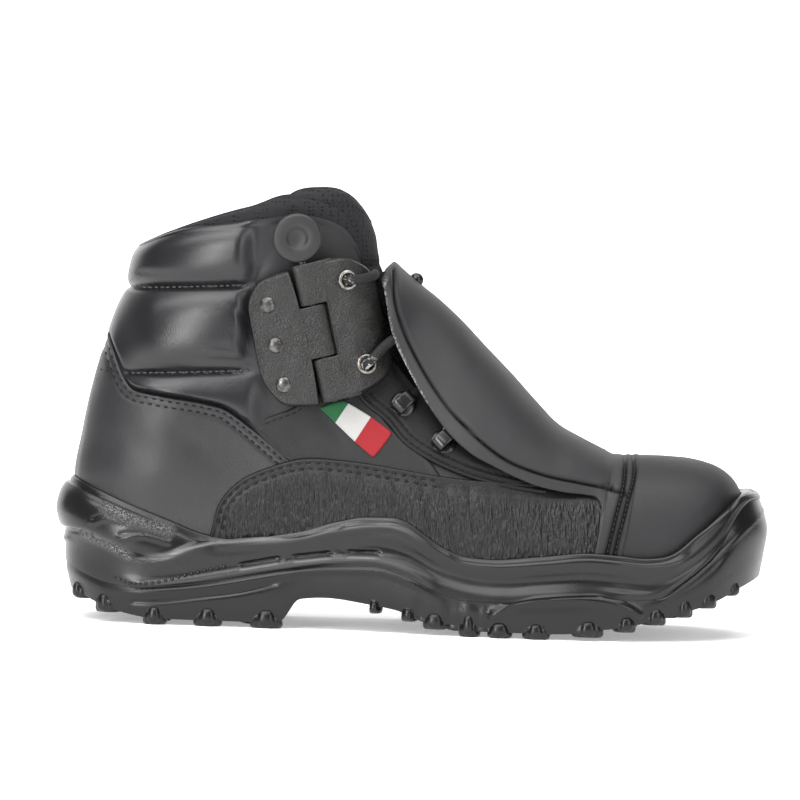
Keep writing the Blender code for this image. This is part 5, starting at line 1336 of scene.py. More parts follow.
PIN_WAY = np.array(HINGE_LOW) - np.array(HINGE_TOP)
PIN_WAY = PIN_WAY / np.linalg.norm(PIN_WAY)
PIN_SIDE = np.array([-PIN_WAY[1], PIN_WAY[0]])
LOOP_WIDE, LOOP_OUT, LEAF_EDGE = 5.7, 3.5, 6.3
STRAP_BASE, STRAP_THICK = 1.15, 2.9
FRONT_STRAP = [tuple(np.array(FRONT_LEAF[0]) + PIN_SIDE * LEAF_EDGE)] + FRONT_LEAF[1:5] + [tuple(np.array(FRONT_LEAF[5]) + PIN_SIDE * LEAF_EDGE)]
REAR_STRAP = REAR_LEAF[:2] + [tuple(np.array(REAR_LEAF[2]) - PIN_SIDE * LEAF_EDGE), tuple(np.array(REAR_LEAF[3]) - PIN_SIDE * LEAF_EDGE + np.array([0.4, -1.6])),
              (-47.0, 95.6)] + REAR_LEAF[5:]


def strap_rise(x, z):
    """How far the straps rise from the upper to the level of their loops."""
    p, n = surface_many(x, z, LATERAL)
    far = np.abs((x - HINGE_TOP[0]) * PIN_SIDE[0] + (z - HINGE_TOP[1]) * PIN_SIDE[1])
    level = hinge_ends()[0][1] - LOOP_OUT + 0.05
    need = (level - p[..., 1]) / np.minimum(n[..., 1], -0.5) - STRAP_BASE - STRAP_THICK
    return np.maximum(need, 0) * (1 - step(9.0, 30.0, far))


def strap_lift(x, z):
    return STRAP_BASE + STRAP_THICK + strap_rise(np.array([x]), np.array([z]))[0]


def strap_spot(x, z):
    """The point of the last over which the strap's face shows at this side-view place."""
    a, c = x, z
    for _ in range(12):
        n = surface_many(np.array([a]), np.array([c]), LATERAL)[1][0]
        h = strap_lift(a, c)
        a, c = a + 0.6 * (x - a - n[0] * h), c + 0.6 * (z - c - n[2] * h)
    return float(a), float(c)


def strap_place(q):
    """The same for many places at once."""
    x, z = q[:, 0], q[:, 1]
    a, c = x.copy(), z.copy()
    for _ in range(6):
        n = surface_many(a, c, LATERAL)[1]
        h = STRAP_BASE + STRAP_THICK + strap_rise(a, c)
        a, c = a + 0.85 * (x - a - n[:, 0] * h), c + 0.85 * (z - c - n[:, 2] * h)
    return np.stack([a, c], 1)


def loop_section(towards):
    """Section of a leather loop round the pin that runs on into its leaf: (across, out) points."""
    a = np.linspace(np.pi / 2, 3 * np.pi / 2, 44)
    sg = lambda v, e: np.sign(v) * np.abs(v) ** e
    free = np.stack([LOOP_WIDE * sg(np.cos(a), 0.8), LOOP_OUT * sg(np.sin(a), 0.8)], 1)
    leaf = np.array([(3.0, -3.3), (7.0, -2.4), (11.0, -0.6), (12.6, 1.2), (12.0, 2.6), (10.2, 3.2), (8.4, 3.48), (6.6, LOOP_OUT), (3.0, LOOP_OUT)])
    loop = np.vstack([free, leaf, free[:1]])
    s = np.concatenate([[0], np.cumsum(np.linalg.norm(np.diff(loop, axis=0), axis=1))])
    want = np.linspace(0, s[-1], 72, endpoint=False)
    fine = np.stack([np.interp(want, s, loop[:, c]) for c in (0, 1)], 1)
    fine[:, 0] *= towards
    return fine


def make_hinge(mat, group_slot="hinge_leather"):
    top, low = hinge_ends()
    along = unit(low - top)
    across = unit(np.array([1.0, 0, 0]) - along * along[0])
    out = np.array([0.0, -1.0, 0.0])
    length = np.linalg.norm(low - top)
    made = {}
    pucker = lambda x, z: 0.22 * np.sin(x * 0.55 + z * 0.21) * np.sin(z * 0.4 - x * 0.13)
    over = lambda x, z: strap_rise(x, z) + pucker(x, z)
    for name, corners, radius in (("front", FRONT_STRAP, [0.8, 7.0, 7.0, 7.0, 9.0, 0.8]), ("rear", REAR_STRAP, [8.0, 8.0, 0.8, 0.8, 8.0, 8.0, 8.0])):
        made[name] = patch("hinge_strap_" + name, corners, mat, STRAP_THICK, STRAP_BASE, LATERAL, corner=radius, slot=group_slot, rings=26,
                           bead=0.22, soft=1.0, count=300, extra=over, replaces=("hinge_leaf_" + name,), under=0.0, place=strap_place)
    for i, (name, start, end) in enumerate(KNUCKLES[1]):
        sec = loop_section(1 if name == "front" else -1)
        b = Body(f"hinge_loop_{i + 1}")
        a0, a1 = start * length - (0.35 if i else 0), end * length + (0.35 if i < 2 else 0)
        rows = []
        ang0 = np.arctan2(sec[:, 1], sec[:, 0])
        bore = np.stack([np.cos(ang0), np.sin(ang0)], 1) * BORE_R
        stops = [(a0, 0.9), (a0 + 0.12, 0.95), (a0 + 0.4, 0.985), (a0 + 0.9, 1.0)]
        stops += [(a, 1.0) for a in np.linspace(a0 + 1.8, a1 - 1.8, 12)]
        stops += [(a1 - 0.9, 1.0), (a1 - 0.4, 0.985), (a1 - 0.12, 0.95), (a1, 0.9)]
        for s, k in stops:
            shrink = (1 - k) * 6.0
            c = sec - unit(sec - np.array([np.sign(sec[:, 0].mean()) * 3.0, -1.0])) * shrink
            bulge = 1 + 0.004 * math.sin((s - a0) * 0.9)
            rows.append(b.add(top + along * s + c[:, :1] * bulge * across + c[:, 1:] * bulge * out))
        hole = [b.add(top + along * s + bore[:, :1] * across + bore[:, 1:] * out) for s in (a1 + 0.0, a0 + 0.0)]
        b.skin(np.array(rows), 0, True)
        b.quads(rows[-1], hole[0], 0, True)
        b.quads(hole[0], hole[1], 0, True)
        b.quads(hole[1], rows[0], 0, True)
        b.done([mat], slot=group_slot, sharp=50)
    # lace holes in the front strap
    strap = made["front"]
    cutters = []
    for i, spot in enumerate(EYELETS):
        x, z = strap_spot(*spot)
        p, n = surface_many(np.array([x]), np.array([z]), LATERAL)
        b = Body(f"hole_{i}")
        turn_into(b, [(0, -3), (3.1, -3), (3.1, 12), (0, 12)], p[0], n[0], 28)
        mesh = bpy.data.meshes.new(b.name)
        mesh.from_pydata((np.concatenate(b.points) * MM).tolist(), [], b.faces)
        bm = bmesh.new()
        bm.from_mesh(mesh)
        bm.normal_update()
        bmesh.ops.recalc_face_normals(bm, faces=bm.faces)
        bm.to_mesh(mesh)
        bm.free()
        o = bpy.data.objects.new(b.name, mesh)
        bpy.context.scene.collection.objects.link(o)
        mod = strap.modifiers.new(b.name, "BOOLEAN")
        mod.object, mod.operation, mod.solver = o, "DIFFERENCE", "EXACT"
        cutters.append(o)
    graph = bpy.context.evaluated_depsgraph_get()
    cut = bpy.data.meshes.new_from_object(strap.evaluated_get(graph))
    strap.modifiers.clear()
    strap.data = cut
    cut.shade_smooth()
    cut.set_sharp_from_angle(angle=math.radians(50))
    for o in cutters:
        bpy.data.objects.remove(o, do_unlink=True)
    return top, low


def make_pin(mat, rod_mat, top, low):
    along = unit(top - low)
    face = unit(np.array([0.0, -1.0, 0.0]) - along * (-along[1]))
    middle = top + along * (DISC_R + 0.9)
    r, t = DISC_R, DISC_T / 2
    a = np.linspace(np.pi / 2, -np.pi / 2, 13)
    edge = [(r - 1.5 + 1.5 * math.cos(q), (t - 1.5) * (1 if q > 0 else -1) * (abs(math.sin(q)) > 1e-9) + 1.5 * math.sin(q)) for q in a]
    line = [(0, 0.42 * t), (1.6, 0.44 * t), (3.0, 0.52 * t), (3.9, 0.66 * t), (4.5, 0.86 * t), (5.0, 0.98 * t), (5.7, 1.04 * t),
            (7.2, 1.05 * t), (8.3, 1.03 * t)] + edge + [(7.0, -t), (0, -t)]
    b = Body("release_pull")
    turn_into(b, line, middle, face, 72)
    b.done([mat], body="release_pin", slot="pull_plastic", replaces=("release_pin",), sharp=40)
    b = Body("release_rod")
    start, stop = low - along * 0.6, middle - along * (DISC_R - 2.2)
    span = float(np.linalg.norm(stop - start))
    turn_into(b, [(0, 0), (1.3, 0), (1.8, 0.25), (PIN_R, 0.8), (PIN_R, span), (0, span)], start, along, 28)
    b.done([rod_mat], body="release_pin", slot="pull_plastic", sharp=40)


def make_fittings(metal, ring_metal, black):
    for i, spot in enumerate(RIVETS):
        x, z = strap_spot(*spot)
        p, n = surface_many(np.array([x]), np.array([z]), LATERAL)
        b = Body(f"rivet_head_{i + 1}")
        dome = [(0, 1.62), (0.8, 1.58), (1.6, 1.42), (2.3, 1.12), (2.8, 0.76), (3.15, 0.36), (3.25, 0.12), (3.2, -0.1), (0, -0.1)]
        turn_into(b, [(r * 1.08, h) for r, h in dome], p[0] + n[0] * (strap_lift(x, z) + 0.12), n[0], 36)
        b.done([metal], slot="antique_metal", replaces=(f"rivet_{i + 1}",), sharp=40)
    crown = [(3.55 + 0.8 * math.cos(q), 0.25 + 0.7 * math.sin(q)) for q in np.linspace(0, np.pi, 9)]
    ring = crown + [(2.75, 0.0), (2.65, -2.4), (2.85, -2.4), (2.95, -0.1), (4.3, -0.1)]
    for word, spots, side, lift in (("outer", EYELETS, LATERAL, 4.25), ("inner", INNER_EYELETS, MEDIAL, 0.35)):
        for i, (x, z) in enumerate(spots):
            if side == LATERAL:
                x, z = strap_spot(x, z)
            p, n = surface_many(np.array([x]), np.array([z]), side)
            b = Body(f"eyelet_ring_{word}_{i + 1}")
            turn_into(b, ring, p[0] + n[0] * (strap_lift(x, z) + 0.2 if side == LATERAL else lift), n[0], 40)
            b.done([ring_metal], slot="antique_metal", replaces=(f"eyelet_{word}_{i + 1}",), sharp=45)
    for side, word in ((LATERAL, "outer"), (MEDIAL, "inner")):
        for i, (x, z) in enumerate(LACE_RINGS):
            p, n, tx, tz = surface_frame(x, z, side)
            edge = unit(tx * 0.70 - tz * 0.72)
            over = unit(np.cross(n, edge) * side)
            b = Body(f"lace_loop_{word}_{i + 1}")
            base = p + n * 2.0
            turn_into(b, [(0, 1.0), (4.2, 0.95), (5.2, 0.7), (5.6, 0.3), (5.6, -0.6), (0, -0.6)], base, n, 36)
            b.done([black], slot="black_metal", replaces=(f"lace_ring_{word}_{i + 1}",), sharp=40)
            b = Body(f"lace_bail_{word}_{i + 1}")
            q = np.linspace(-0.04, np.pi + 0.04, 25)
            sg = lambda v, e: math.copysign(abs(v) ** e, v)
            arch = np.array([base + n * (0.4 + 4.2 * sg(math.sin(v), 0.62)) + over * (4.6 * sg(math.cos(v), 0.62)) for v in q])
            strap_into(b, arch, edge, 3.0, 0.7)
            b.done([black], slot="black_metal", sharp=60)


def strap_into(b, line, wide, half, thick):
    """A flat strap along a line of points: its width points along wide."""
    t = unit(np.gradient(line, axis=0))
    up = unit(np.cross(t, wide))
    a = np.arange(20) / 20 * 2 * np.pi
    sg = lambda v: np.sign(v) * np.abs(v) ** 0.35
    rows = [b.add(p + sg(np.cos(a))[:, None] * half * wide + sg(np.sin(a))[:, None] * thick * u) for p, u in zip(line, up)]
    b.skin(np.array(rows), 0, True)
    for ring, p in ((rows[0], line[0]), (rows[-1], line[-1])):
        b.fan(ring, b.add(p[None])[0])


def make_lace(mat, face, n):
    """The lace from its eyelets and loops over the tongue, under the guard."""
    b = Body("lace_cord")

    def eye(spots, i, side, lift):
        x, z = strap_spot(*spots[i]) if side == LATERAL else spots[i]
        p, nn = surface_many(np.array([x]), np.array([z]), side)
        ahead, an = surface_many(np.array([x + 7.5]), np.array([z + 0.6]), side)
        return p[0], nn[0], ahead[0], an[0], lift

    def over(share, row, lift):
        p, nn = tongue_point(face, n, share, row)
        return p + nn * (LACE_R + lift)

    # bar through the two upper eyelets
    p, nn, q, qn, lift = eye(EYELETS, 0, LATERAL, strap_lift(*strap_spot(*EYELETS[0])) + 0.3)
    left = [p + nn * 1.2, p + nn * (lift + 0.2) + (q - p) * 0.05, p + nn * (lift + 1.9) + (q - p) * 0.42, q + qn * (lift + 1.2), q + qn * 3.0 + (q - p) * 1.1]
    p2, n2, q2, q2n, lift2 = eye(INNER_EYELETS, 0, MEDIAL, 0.4)
    right = [q2 + q2n * 2.6 + (q2 - p2) * 0.9, q2 + q2n * (lift2 + 2.6), p2 + n2 * (lift2 + 3.0) + (q2 - p2) * 0.25, p2 + n2 * (lift2 + 0.8), p2 - n2 * 1.6]
    tube_into(b, left + [over(-0.45, 5.9, 2.6), over(0.0, 5.9, 1.6), over(0.45, 5.9, 1.4)] + right, LACE_R, 14, 150)
    # two rising strands that cross over the tongue
    p, nn, q, qn, lift = eye(EYELETS, 1, LATERAL, strap_lift(*strap_spot(*EYELETS[1])) + 0.3)
    up = np.array([1.0, 0, 0.95])
    q = p + (q - p) * 0.72 + np.array([0, 0, 5.2])
    left = [p + nn * 1.9, p + nn * (lift + 0.9), p + nn * (lift + 3.0) + (q - p) * 0.3, q + qn * (lift + 1.2)]
    ring = lambda i, side: surface_frame(*LACE_RINGS[i], side)
    r1, rn = ring(0, MEDIAL)[:2]
    tube_into(b, left + [over(-0.3, 4.9, 2.2), over(0.05, 4.2, 4.6), over(0.34, 3.5, 1.6), r1 + rn * 4.6], LACE_R, 14, 120)
    p2, n2, q2, q2n, lift2 = eye(INNER_EYELETS, 1, MEDIAL, 0.4)
    right = [p2 - n2 * 1.6, p2 + n2 * (lift2 + 0.8), p2 + n2 * (lift2 + 3.0) + (q2 - p2) * 0.25, q2 + q2n * (lift2 + 2.4)]
    r2, rn2 = ring(0, LATERAL)[:2]
    tube_into(b, right + [over(0.3, 4.7, 1.6), over(-0.05, 4.2, 0.9), over(-0.34, 3.5, 1.4), r2 + rn2 * 4.6], LACE_R, 14, 120)
    # lower crossing between the loops
    r3, rn3 = ring(1, MEDIAL)[:2]
    r4, rn4 = ring(1, LATERAL)[:2]
    e = np.array([0.0, 0, 0])
    tube_into(b, [r4 + rn4 * 4.8, over(-0.32, 2.6, 1.2), over(0.0, 2.5, 1.0), over(0.32, 2.6, 1.2), r3 + rn3 * 4.8], LACE_R, 14, 80)
    return b.done([mat], slot="lace_cord", replaces=("lace",), sharp=0)


def make_tag(mat):
    corners = [(-41.0, 95.0), (-31.0, 98.5), (-9.5, 85.0), (-17.2, 74.4)]
    a, b = np.array(corners[0]) / 2 + np.array(corners[1]) / 2, np.array(corners[2]) / 2 + np.array(corners[3]) / 2
    axis = (b - a) / np.linalg.norm(b - a) ** 2

    def marks(p):
        lean = np.array([-axis[1], axis[0]]) * 0.10
        return {"band": ((np.atleast_2d(p) - a) @ (axis + lean))}

    return patch("side_tag", corners, mat, 0.8, 1.15, LATERAL, corner=0.8, slot="mesh_textile", rings=10, bead=0.12, soft=0.4,
                 marks=marks, count=120, under=0.3)

# ---------------------------------------------------------------- materials
class Shade:
    """Short form for building a node material."""

    def __init__(self, name, colour, rough, metallic=0.0, spec=0.5):
        self.m = bpy.data.materials.new(name)
        self.m.use_nodes = True
        self.t = self.m.node_tree
        self.b = self.t.nodes["Principled BSDF"]
        self.b.inputs["Base Color"].default_value = (*colour, 1)
        self.b.inputs["Roughness"].default_value = rough
        self.b.inputs["Metallic"].default_value = metallic
        self.b.inputs["Specular IOR Level"].default_value = spec
        self.colour, self.rough = colour, rough
        self.place = self.t.nodes.new("ShaderNodeTexCoord").outputs["Object"]
        self.height = None

    def node(self, kind, **values):
        n = self.t.nodes.new(kind)
        for k, v in values.items():
            if k in n.inputs:
                if hasattr(v, "links"):
                    self.t.links.new(v, n.inputs[k])
                else:
                    n.inputs[k].default_value = v
            else:
                setattr(n, k, v)
        return n

    def link(self, a, b):
        self.t.links.new(a, b)

    def math(self, op, a, b=None, c=None):
        n = self.t.nodes.new("ShaderNodeMath")
        n.operation = op
        for i, v in enumerate((a, b, c)):
            if v is None:
                continue
            if hasattr(v, "links"):
                self.link(v, n.inputs[i])
            else:
                n.inputs[i].default_value = v
        return n.outputs[0]

    def stretched(self, sx, sy, sz, turn=(0, 0, 0)):
        n = self.node("ShaderNodeMapping")
        n.inputs["Scale"].default_value = (sx, sy, sz)
        n.inputs["Rotation"].default_value = turn
        self.link(self.place, n.inputs["Vector"])
        return n.outputs[0]

    def noise(self, scale, detail=2.0, vector=None, rough=0.55):
        n = self.node("ShaderNodeTexNoise", Scale=scale, Detail=detail, Roughness=rough)
        self.link(vector or self.place, n.inputs["Vector"])
        return n.outputs["Fac"]

    def cells(self, scale, feature="F1", vector=None, randomness=1.0):
        n = self.t.nodes.new("ShaderNodeTexVoronoi")
        n.feature = feature
        n.inputs["Scale"].default_value = scale
        n.inputs["Randomness"].default_value = randomness
        self.link(vector or self.place, n.inputs["Vector"])
        return n.outputs["Distance"]

    def span(self, value, a, b, lo=0.0, hi=1.0):
        n = self.node("ShaderNodeMapRange")
        n.inputs["From Min"].default_value, n.inputs["From Max"].default_value = a, b
        n.inputs["To Min"].default_value, n.inputs["To Max"].default_value = lo, hi
        self.link(value, n.inputs["Value"])
        return n.outputs["Result"]

    def mark(self, name):
        n = self.t.nodes.new("ShaderNodeAttribute")
        n.attribute_name = name
        return n.outputs["Fac"]

    def bump(self, value, strength, distance):
        n = self.node("ShaderNodeBump", Strength=strength)
        n.inputs["Distance"].default_value = distance
        self.link(value, n.inputs["Height"])
        if self.height is not None:
            self.link(self.height, n.inputs["Normal"])
        self.height = n.outputs["Normal"]
        self.link(self.height, self.b.inputs["Normal"])

    def mixed(self, fac, a, b):
        n = self.t.nodes.new("ShaderNodeMix")
        n.data_type = "RGBA"
        self.link(fac, n.inputs[0])
        for i, v in ((6, a), (7, b)):
            if hasattr(v, "links"):
                self.link(v, n.inputs[i])
            else:
                n.inputs[i].default_value = (*v, 1)
        return n.outputs[2]

    def tint(self, value):
        self.link(value, self.b.inputs["Base Color"])

    def roughen(self, value):
        self.link(value, self.b.inputs["Roughness"])


def leather(name, colour, rough, grain, depth, wrinkle=0.0, shine=None, spec=0.5, vary=0.10):
    s = Shade(name, colour, rough, spec=spec)
    pore = s.cells(1000 / grain, "DISTANCE_TO_EDGE")
    pore = s.span(pore, 0.0, 0.16)
    fine = s.noise(2600, 3)
    s.bump(s.math("ADD", pore, s.math("MULTIPLY", fine, 0.55)), depth, 0.00035)
    if wrinkle:
        # upright soft ridges that cross each other here and there and fade towards a stitched edge
        one = s.noise(1.0, 1, s.stretched(720, 300, 220, (0, 0.20, 0)), 0.45)
        two = s.noise(1.0, 1, s.stretched(680, 300, 205, (0, -0.24, 0)), 0.45)
        long = s.math("MAXIMUM", s.span(one, 0.44, 0.76), s.span(two, 0.46, 0.78))
        s.bump(long, s.math("MULTIPLY", s.math("SUBTRACT", 1.0, s.math("MULTIPLY", s.mark("calm"), 0.92)), wrinkle), 0.0011)
    patchy = s.noise(38, 3)
    rough_out = s.span(patchy, 0.3, 0.7, rough - vary * 0.5, rough + vary * 0.5)
    if shine is not None:
        k = s.mark("shine")
        rough_out = s.math("ADD", s.math("MULTIPLY", rough_out, s.math("SUBTRACT", 1.0, k)), s.math("MULTIPLY", k, s.span(patchy, 0.3, 0.7, shine - 0.03, shine + 0.04)))
    s.roughen(rough_out)
    lift = tuple(min(1, c * 1.35) for c in colour)
    tone = s.mixed(s.span(s.noise(24, 4), 0.35, 0.7), colour, lift)
    if wrinkle:
        # painted highlight: the crests of the wrinkles are painted three times lighter, as if they caught the light
        crest_highlight = s.math("MULTIPLY", long, s.math("SUBTRACT", 1.0, s.mark("calm")))
        tone = s.mixed(crest_highlight, tone, tuple(c * 3.0 for c in colour))
    s.tint(tone)
    return s


def build_materials():
    m = {}
    m["pads"] = leather("collar_leather", (0.008, 0.008, 0.0092), 0.60, 0.9, 0.10, shine=0.30, spec=0.46).m
    m["smooth"] = leather("counter_leather", (0.009, 0.009, 0.0101), 0.41, 0.95, 0.16).m
    # painted shade: the facing leather is made darker and less reflective, as shade under the guard
    m["facing"] = leather("shaded_facing_leather", (0.004, 0.004, 0.0043), 0.50, 0.95, 0.18, spec=0.24).m
    m["dull"] = leather("quarter_leather", (0.006, 0.006, 0.0066), 0.52, 0.95, 0.20, spec=0.32).m
    m["tumbled"] = leather("tumbled_leather", (0.0045, 0.0045, 0.0046), 0.40, 1.1, 0.22, wrinkle=0.72, spec=0.32).m
    m["hinge"] = leather("strap_leather", (0.007, 0.0065, 0.0061), 0.37, 1.1, 0.34, spec=0.40).m

    s = leather("flap_leather", (0.012, 0.0117, 0.0128), 0.58, 0.75, 0.12)
    raw = s.math("MULTIPLY", s.mark("raw"), s.span(s.noise(900, 2), 0.42, 0.62))
    old = s.b.inputs["Base Color"].links[0].from_socket
    # painted shade in the crease and seam grooves: the colour there is darkened and the reflection taken away
    s.tint(s.mixed(s.mark("dark"), s.mixed(raw, old, (0.30, 0.295, 0.29)), (0.003, 0.003, 0.0033)))
    s.link(s.span(s.mark("dark"), 0.0, 0.9, 0.42, 0.06), s.b.inputs["Specular IOR Level"])
    m["flap"] = s.m

    s = Shade("lining_mesh", (0.013, 0.013, 0.015), 0.85, spec=0.3)
    hole = s.span(s.cells(560, randomness=0.25), 0.10, 0.42)
    s.bump(hole, 0.7, 0.0006)
    # painted shade: the colour is darker in the holes of the mesh
    s.tint(s.mixed(hole, (0.002, 0.002, 0.0025), (0.012, 0.012, 0.014)))
    m["lining"] = s.m

    s = Shade("tongue_mesh", (0.013, 0.013, 0.015), 0.8, spec=0.3)
    hole = s.span(s.cells(470, randomness=0.2), 0.10, 0.42)
    s.bump(hole, 0.75, 0.0007)
    # painted shade: the colour is darker in the holes of the mesh
    s.tint(s.mixed(hole, (0.002, 0.002, 0.0025), (0.014, 0.014, 0.016)))
    m["tongue"] = s.m

    s = Shade("footbed_cloth", (0.03, 0.03, 0.033), 0.9, spec=0.2)
    s.bump(s.noise(1500, 2), 0.4, 0.0004)
    m["footbed"] = s.m

    s = Shade("midsole_foam", (0.007, 0.007, 0.0072), 0.38, spec=0.38)
    s.bump(s.noise(900, 3), 0.10, 0.0003)
    grit = s.math("MULTIPLY", s.mark("speck"), s.span(s.cells(1500), 0.1, 0.6))
    s.bump(grit, 0.9, 0.0007)
    s.tint(s.mixed(s.math("MULTIPLY", s.mark("speck"), s.span(s.cells(1500), 0.25, 0.65, 0.25, 1.0)), (0.007, 0.007, 0.0072), (0.11, 0.11, 0.11)))
    # painted highlight: lighter colour along the moulded crests marked pale
    s.tint(s.mixed(s.mark("pale"), s.b.inputs["Base Color"].links[0].from_socket, (0.10, 0.10, 0.10)))
    s.roughen(s.span(s.noise(30, 3), 0.3, 0.7, 0.24, 0.33))
    m["midsole"] = s.m

    s = Shade("outsole_rubber_skin", (0.005, 0.005, 0.0052), 0.32, spec=0.34)
    s.bump(s.noise(700, 3), 0.12, 0.0003)
    s.roughen(s.span(s.noise(40, 3), 0.3, 0.7, 0.24, 0.36))
    m["outsole"] = s.m

    for key, low, high in (("metal", (0.04, 0.039, 0.038), (0.15, 0.147, 0.144)), ("ring", (0.10, 0.09, 0.08), (0.34, 0.315, 0.285))):
        s = Shade("worn_" + key, high, 0.32, metallic=1.0)
        spots = s.noise(420, 4)
        s.tint(s.mixed(s.span(spots, 0.35, 0.65), low, high))
        s.roughen(s.span(spots, 0.3, 0.7, 0.44, 0.28))
        m[key] = s.m

    s = Shade("black_wire", (0.006, 0.006, 0.006), 0.24, spec=0.45)
    s.bump(s.noise(800, 2), 0.06, 0.0002)
    m["black"] = s.m

    s = Shade("pull_rubber", (0.015, 0.015, 0.015), 0.50, spec=0.4)
    s.bump(s.noise(1100, 3), 0.12, 0.0002)
    s.roughen(s.span(s.noise(60, 3), 0.3, 0.7, 0.44, 0.56))
    m["pull"] = s.m

    s = Shade("lace_weave", (0.008, 0.008, 0.009), 0.75, spec=0.35)
    where = s.t.nodes.new("ShaderNodeCombineXYZ")
    s.link(s.math("MULTIPLY", s.mark("run"), 0.85), where.inputs[0])
    s.link(s.math("MULTIPLY", s.mark("lap"), 7.0), where.inputs[1])
    weave = s.cells(1.6, vector=where.outputs[0], randomness=0.5)
    s.bump(s.span(weave, 0.0, 0.6, 1.0, 0.0), 0.6, 0.0005)
    fleck = s.math("MULTIPLY", s.span(s.noise(0.9, 1, where.outputs[0]), 0.57, 0.60), s.span(s.mark("run"), 13.0, 17.0, 1.0, 0.0))
    s.tint(s.mixed(fleck, (0.008, 0.008, 0.009), (0.36, 0.36, 0.35)))
    m["lace"] = s.m

    s = Shade("seam_thread", (0.006, 0.006, 0.0065), 0.72, spec=0.3)
    s.bump(s.noise(1800, 2), 0.3, 0.0002)
    m["thread"] = s.m

    s = Shade("groove_thread", (0.045, 0.045, 0.047), 0.6, spec=0.4)
    s.bump(s.noise(1800, 2), 0.3, 0.0002)
    m["pale_thread"] = s.m

    s = Shade("woven_tag", (0.8, 0.8, 0.8), 0.75, spec=0.25)
    ramp = s.t.nodes.new("ShaderNodeValToRGB")
    ramp.color_ramp.interpolation = "CONSTANT"
    e = ramp.color_ramp.elements
    e[0].position, e[0].color = 0.0, (0.012, 0.085, 0.030, 1)
    e[1].position, e[1].color = 0.21, (0.36, 0.355, 0.345, 1)
    third = e.new(0.61)
    third.color = (0.23, 0.012, 0.016, 1)
    s.link(s.mark("band"), ramp.inputs[0])
    weave = s.noise(1.0, 1, s.stretched(2600, 2600, 900))
    s.bump(weave, 0.35, 0.0003)
    s.tint(ramp.outputs[0])
    m["tag"] = s.m
    return m


# ---------------------------------------------------------------- stage
def make_stage():
    prof = [(-4.4, 0.0), (3.8, 0.0)]
    prof += [(3.8 + 0.6 * math.sin(a), 0.6 - 0.6 * math.cos(a)) for a in np.linspace(0.1, np.pi / 2, 12)]
    prof += [(4.4, 4.0)]
    verts, faces = [], []
    for x in (-4.4, 4.4):
        verts += [(x, y, z) for y, z in prof]
    k = len(prof)
    faces = [(i, i + 1, k + i + 1, k + i) for i in range(k - 1)]
    mesh = bpy.data.meshes.new("floor_and_wall")
    mesh.from_pydata(verts, [], faces)
    mesh.shade_smooth()
    s = Shade("white_paper", (0.93, 0.93, 0.93), 0.9, spec=0.1)
    s.b.inputs["Emission Color"].default_value = (1, 1, 1, 1)
    # painted light: the paper is painted white and glows faintly round the boot, is painted dark in front of it, and
    # glows more on the wall behind, as a studio's light falls off
    part = s.t.nodes.new("ShaderNodeSeparateXYZ")
    s.link(s.place, part.inputs[0])
    near_by = s.span(part.outputs[1], -1.5, -0.85)
    s.tint(s.mixed(near_by, (0.10, 0.10, 0.10), (0.93, 0.93, 0.93)))
    far_off = s.span(part.outputs[1], 0.5, 1.8, 0.0, 0.75)
    s.link(s.math("ADD", s.span(near_by, 0.0, 1.0, 0.02, 0.34), far_off), s.b.inputs["Emission Strength"])
    mesh.materials.append(s.m)
    o = bpy.data.objects.new("floor_and_wall", mesh)
    bpy.context.scene.collection.objects.link(o)


def soft_light(name, where, target, size, radiance):
    d = bpy.data.lights.new(name, "AREA")
    d.shape, d.size, d.size_y = "RECTANGLE", size[0], size[1]
    d.energy = radiance * math.pi * size[0] * size[1]
    o = bpy.data.objects.new(name, d)
    o.location = where
    o.rotation_euler = (Vector(target) - Vector(where)).to_track_quat("-Z", "Y").to_euler()
    bpy.context.scene.collection.objects.link(o)


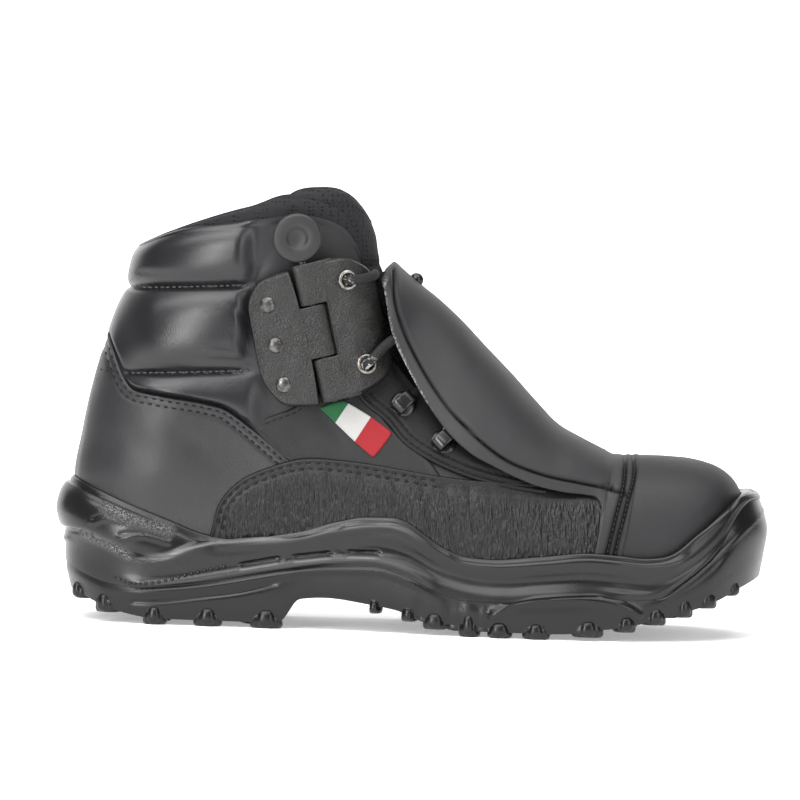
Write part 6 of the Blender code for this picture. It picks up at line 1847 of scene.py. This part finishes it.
def make_light():
    world = bpy.data.worlds.new("studio")
    bpy.context.scene.world = world
    world.use_nodes = True
    bg = world.node_tree.nodes["Background"]
    bg.inputs["Color"].default_value = (1, 1, 1, 1)
    bg.inputs["Strength"].default_value = 0.15
    soft_light("top_box", (0.0, -0.25, 1.55), (0.0, 0.0, 0.1), (1.9, 1.3), 4.2)
    soft_light("left_box", (-0.98, -1.62, 0.50), (-0.06, 0.0, 0.1), (0.45, 1.1), 17.0)
    soft_light("front_box", (-0.70, -1.00, 1.35), (-0.05, 0.0, 0.1), (1.9, 0.52), 7.2)
    soft_light("right_box", (1.25, -1.45, 0.7), (0.02, 0.0, 0.1), (0.6, 1.2), 5.0)
    view = bpy.context.scene.view_settings
    view.view_transform, view.look, view.exposure, view.gamma = "Standard", "None", 0.0, 1.0


def make_camera():
    tilt, roll, far = math.radians(2.6), math.radians(1.88), 3.20
    ahead = Vector((0, math.cos(tilt), -math.sin(tilt)))
    right0, up0 = Vector((1, 0, 0)), Vector((0, math.sin(tilt), math.cos(tilt)))
    right = right0 * math.cos(roll) + up0 * math.sin(roll)
    up = up0 * math.cos(roll) - right0 * math.sin(roll)
    target = Vector((-0.0067, -0.018, 0.0986))
    m = Matrix((right, up, -ahead)).transposed().to_4x4()
    m.translation = target - ahead * far
    cam = bpy.data.cameras.new("photo_view")
    cam.sensor_width = 36.0
    cam.lens = 36.0 * far / 0.344
    cam.clip_start, cam.clip_end = 0.05, 30
    o = bpy.data.objects.new("photo_view", cam)
    o.matrix_world = m
    bpy.context.scene.collection.objects.link(o)
    bpy.context.scene.camera = o


# ---------------------------------------------------------------- the boot
def main():
    mats = build_materials()
    seams, textile_seams, groove_seams = Stitches(), Stitches(), Stitches()
    make_upper(mats["pads"], mats["lining"])
    make_panels(mats, seams, groove_seams)
    make_soles(mats["midsole"], mats["outsole"])
    make_insole(mats["footbed"])
    face, n = make_tongue(mats["tongue"], textile_seams)
    make_guard(mats["flap"], mats["black"], seams)
    top, low = make_hinge(mats["hinge"])
    make_pin(mats["pull"], mats["black"], top, low)
    make_fittings(mats["metal"], mats["ring"], mats["black"])
    make_lace(mats["lace"], face, n)
    make_tag(mats["tag"])
    seams.done("leather_stitches", mats["thread"], "black_leather")
    textile_seams.done("tongue_stitches", mats["thread"], "mesh_textile")
    groove_seams.done("groove_stitches", mats["pale_thread"], "black_leather")
    make_stage()
    make_light()
    make_camera()


main()
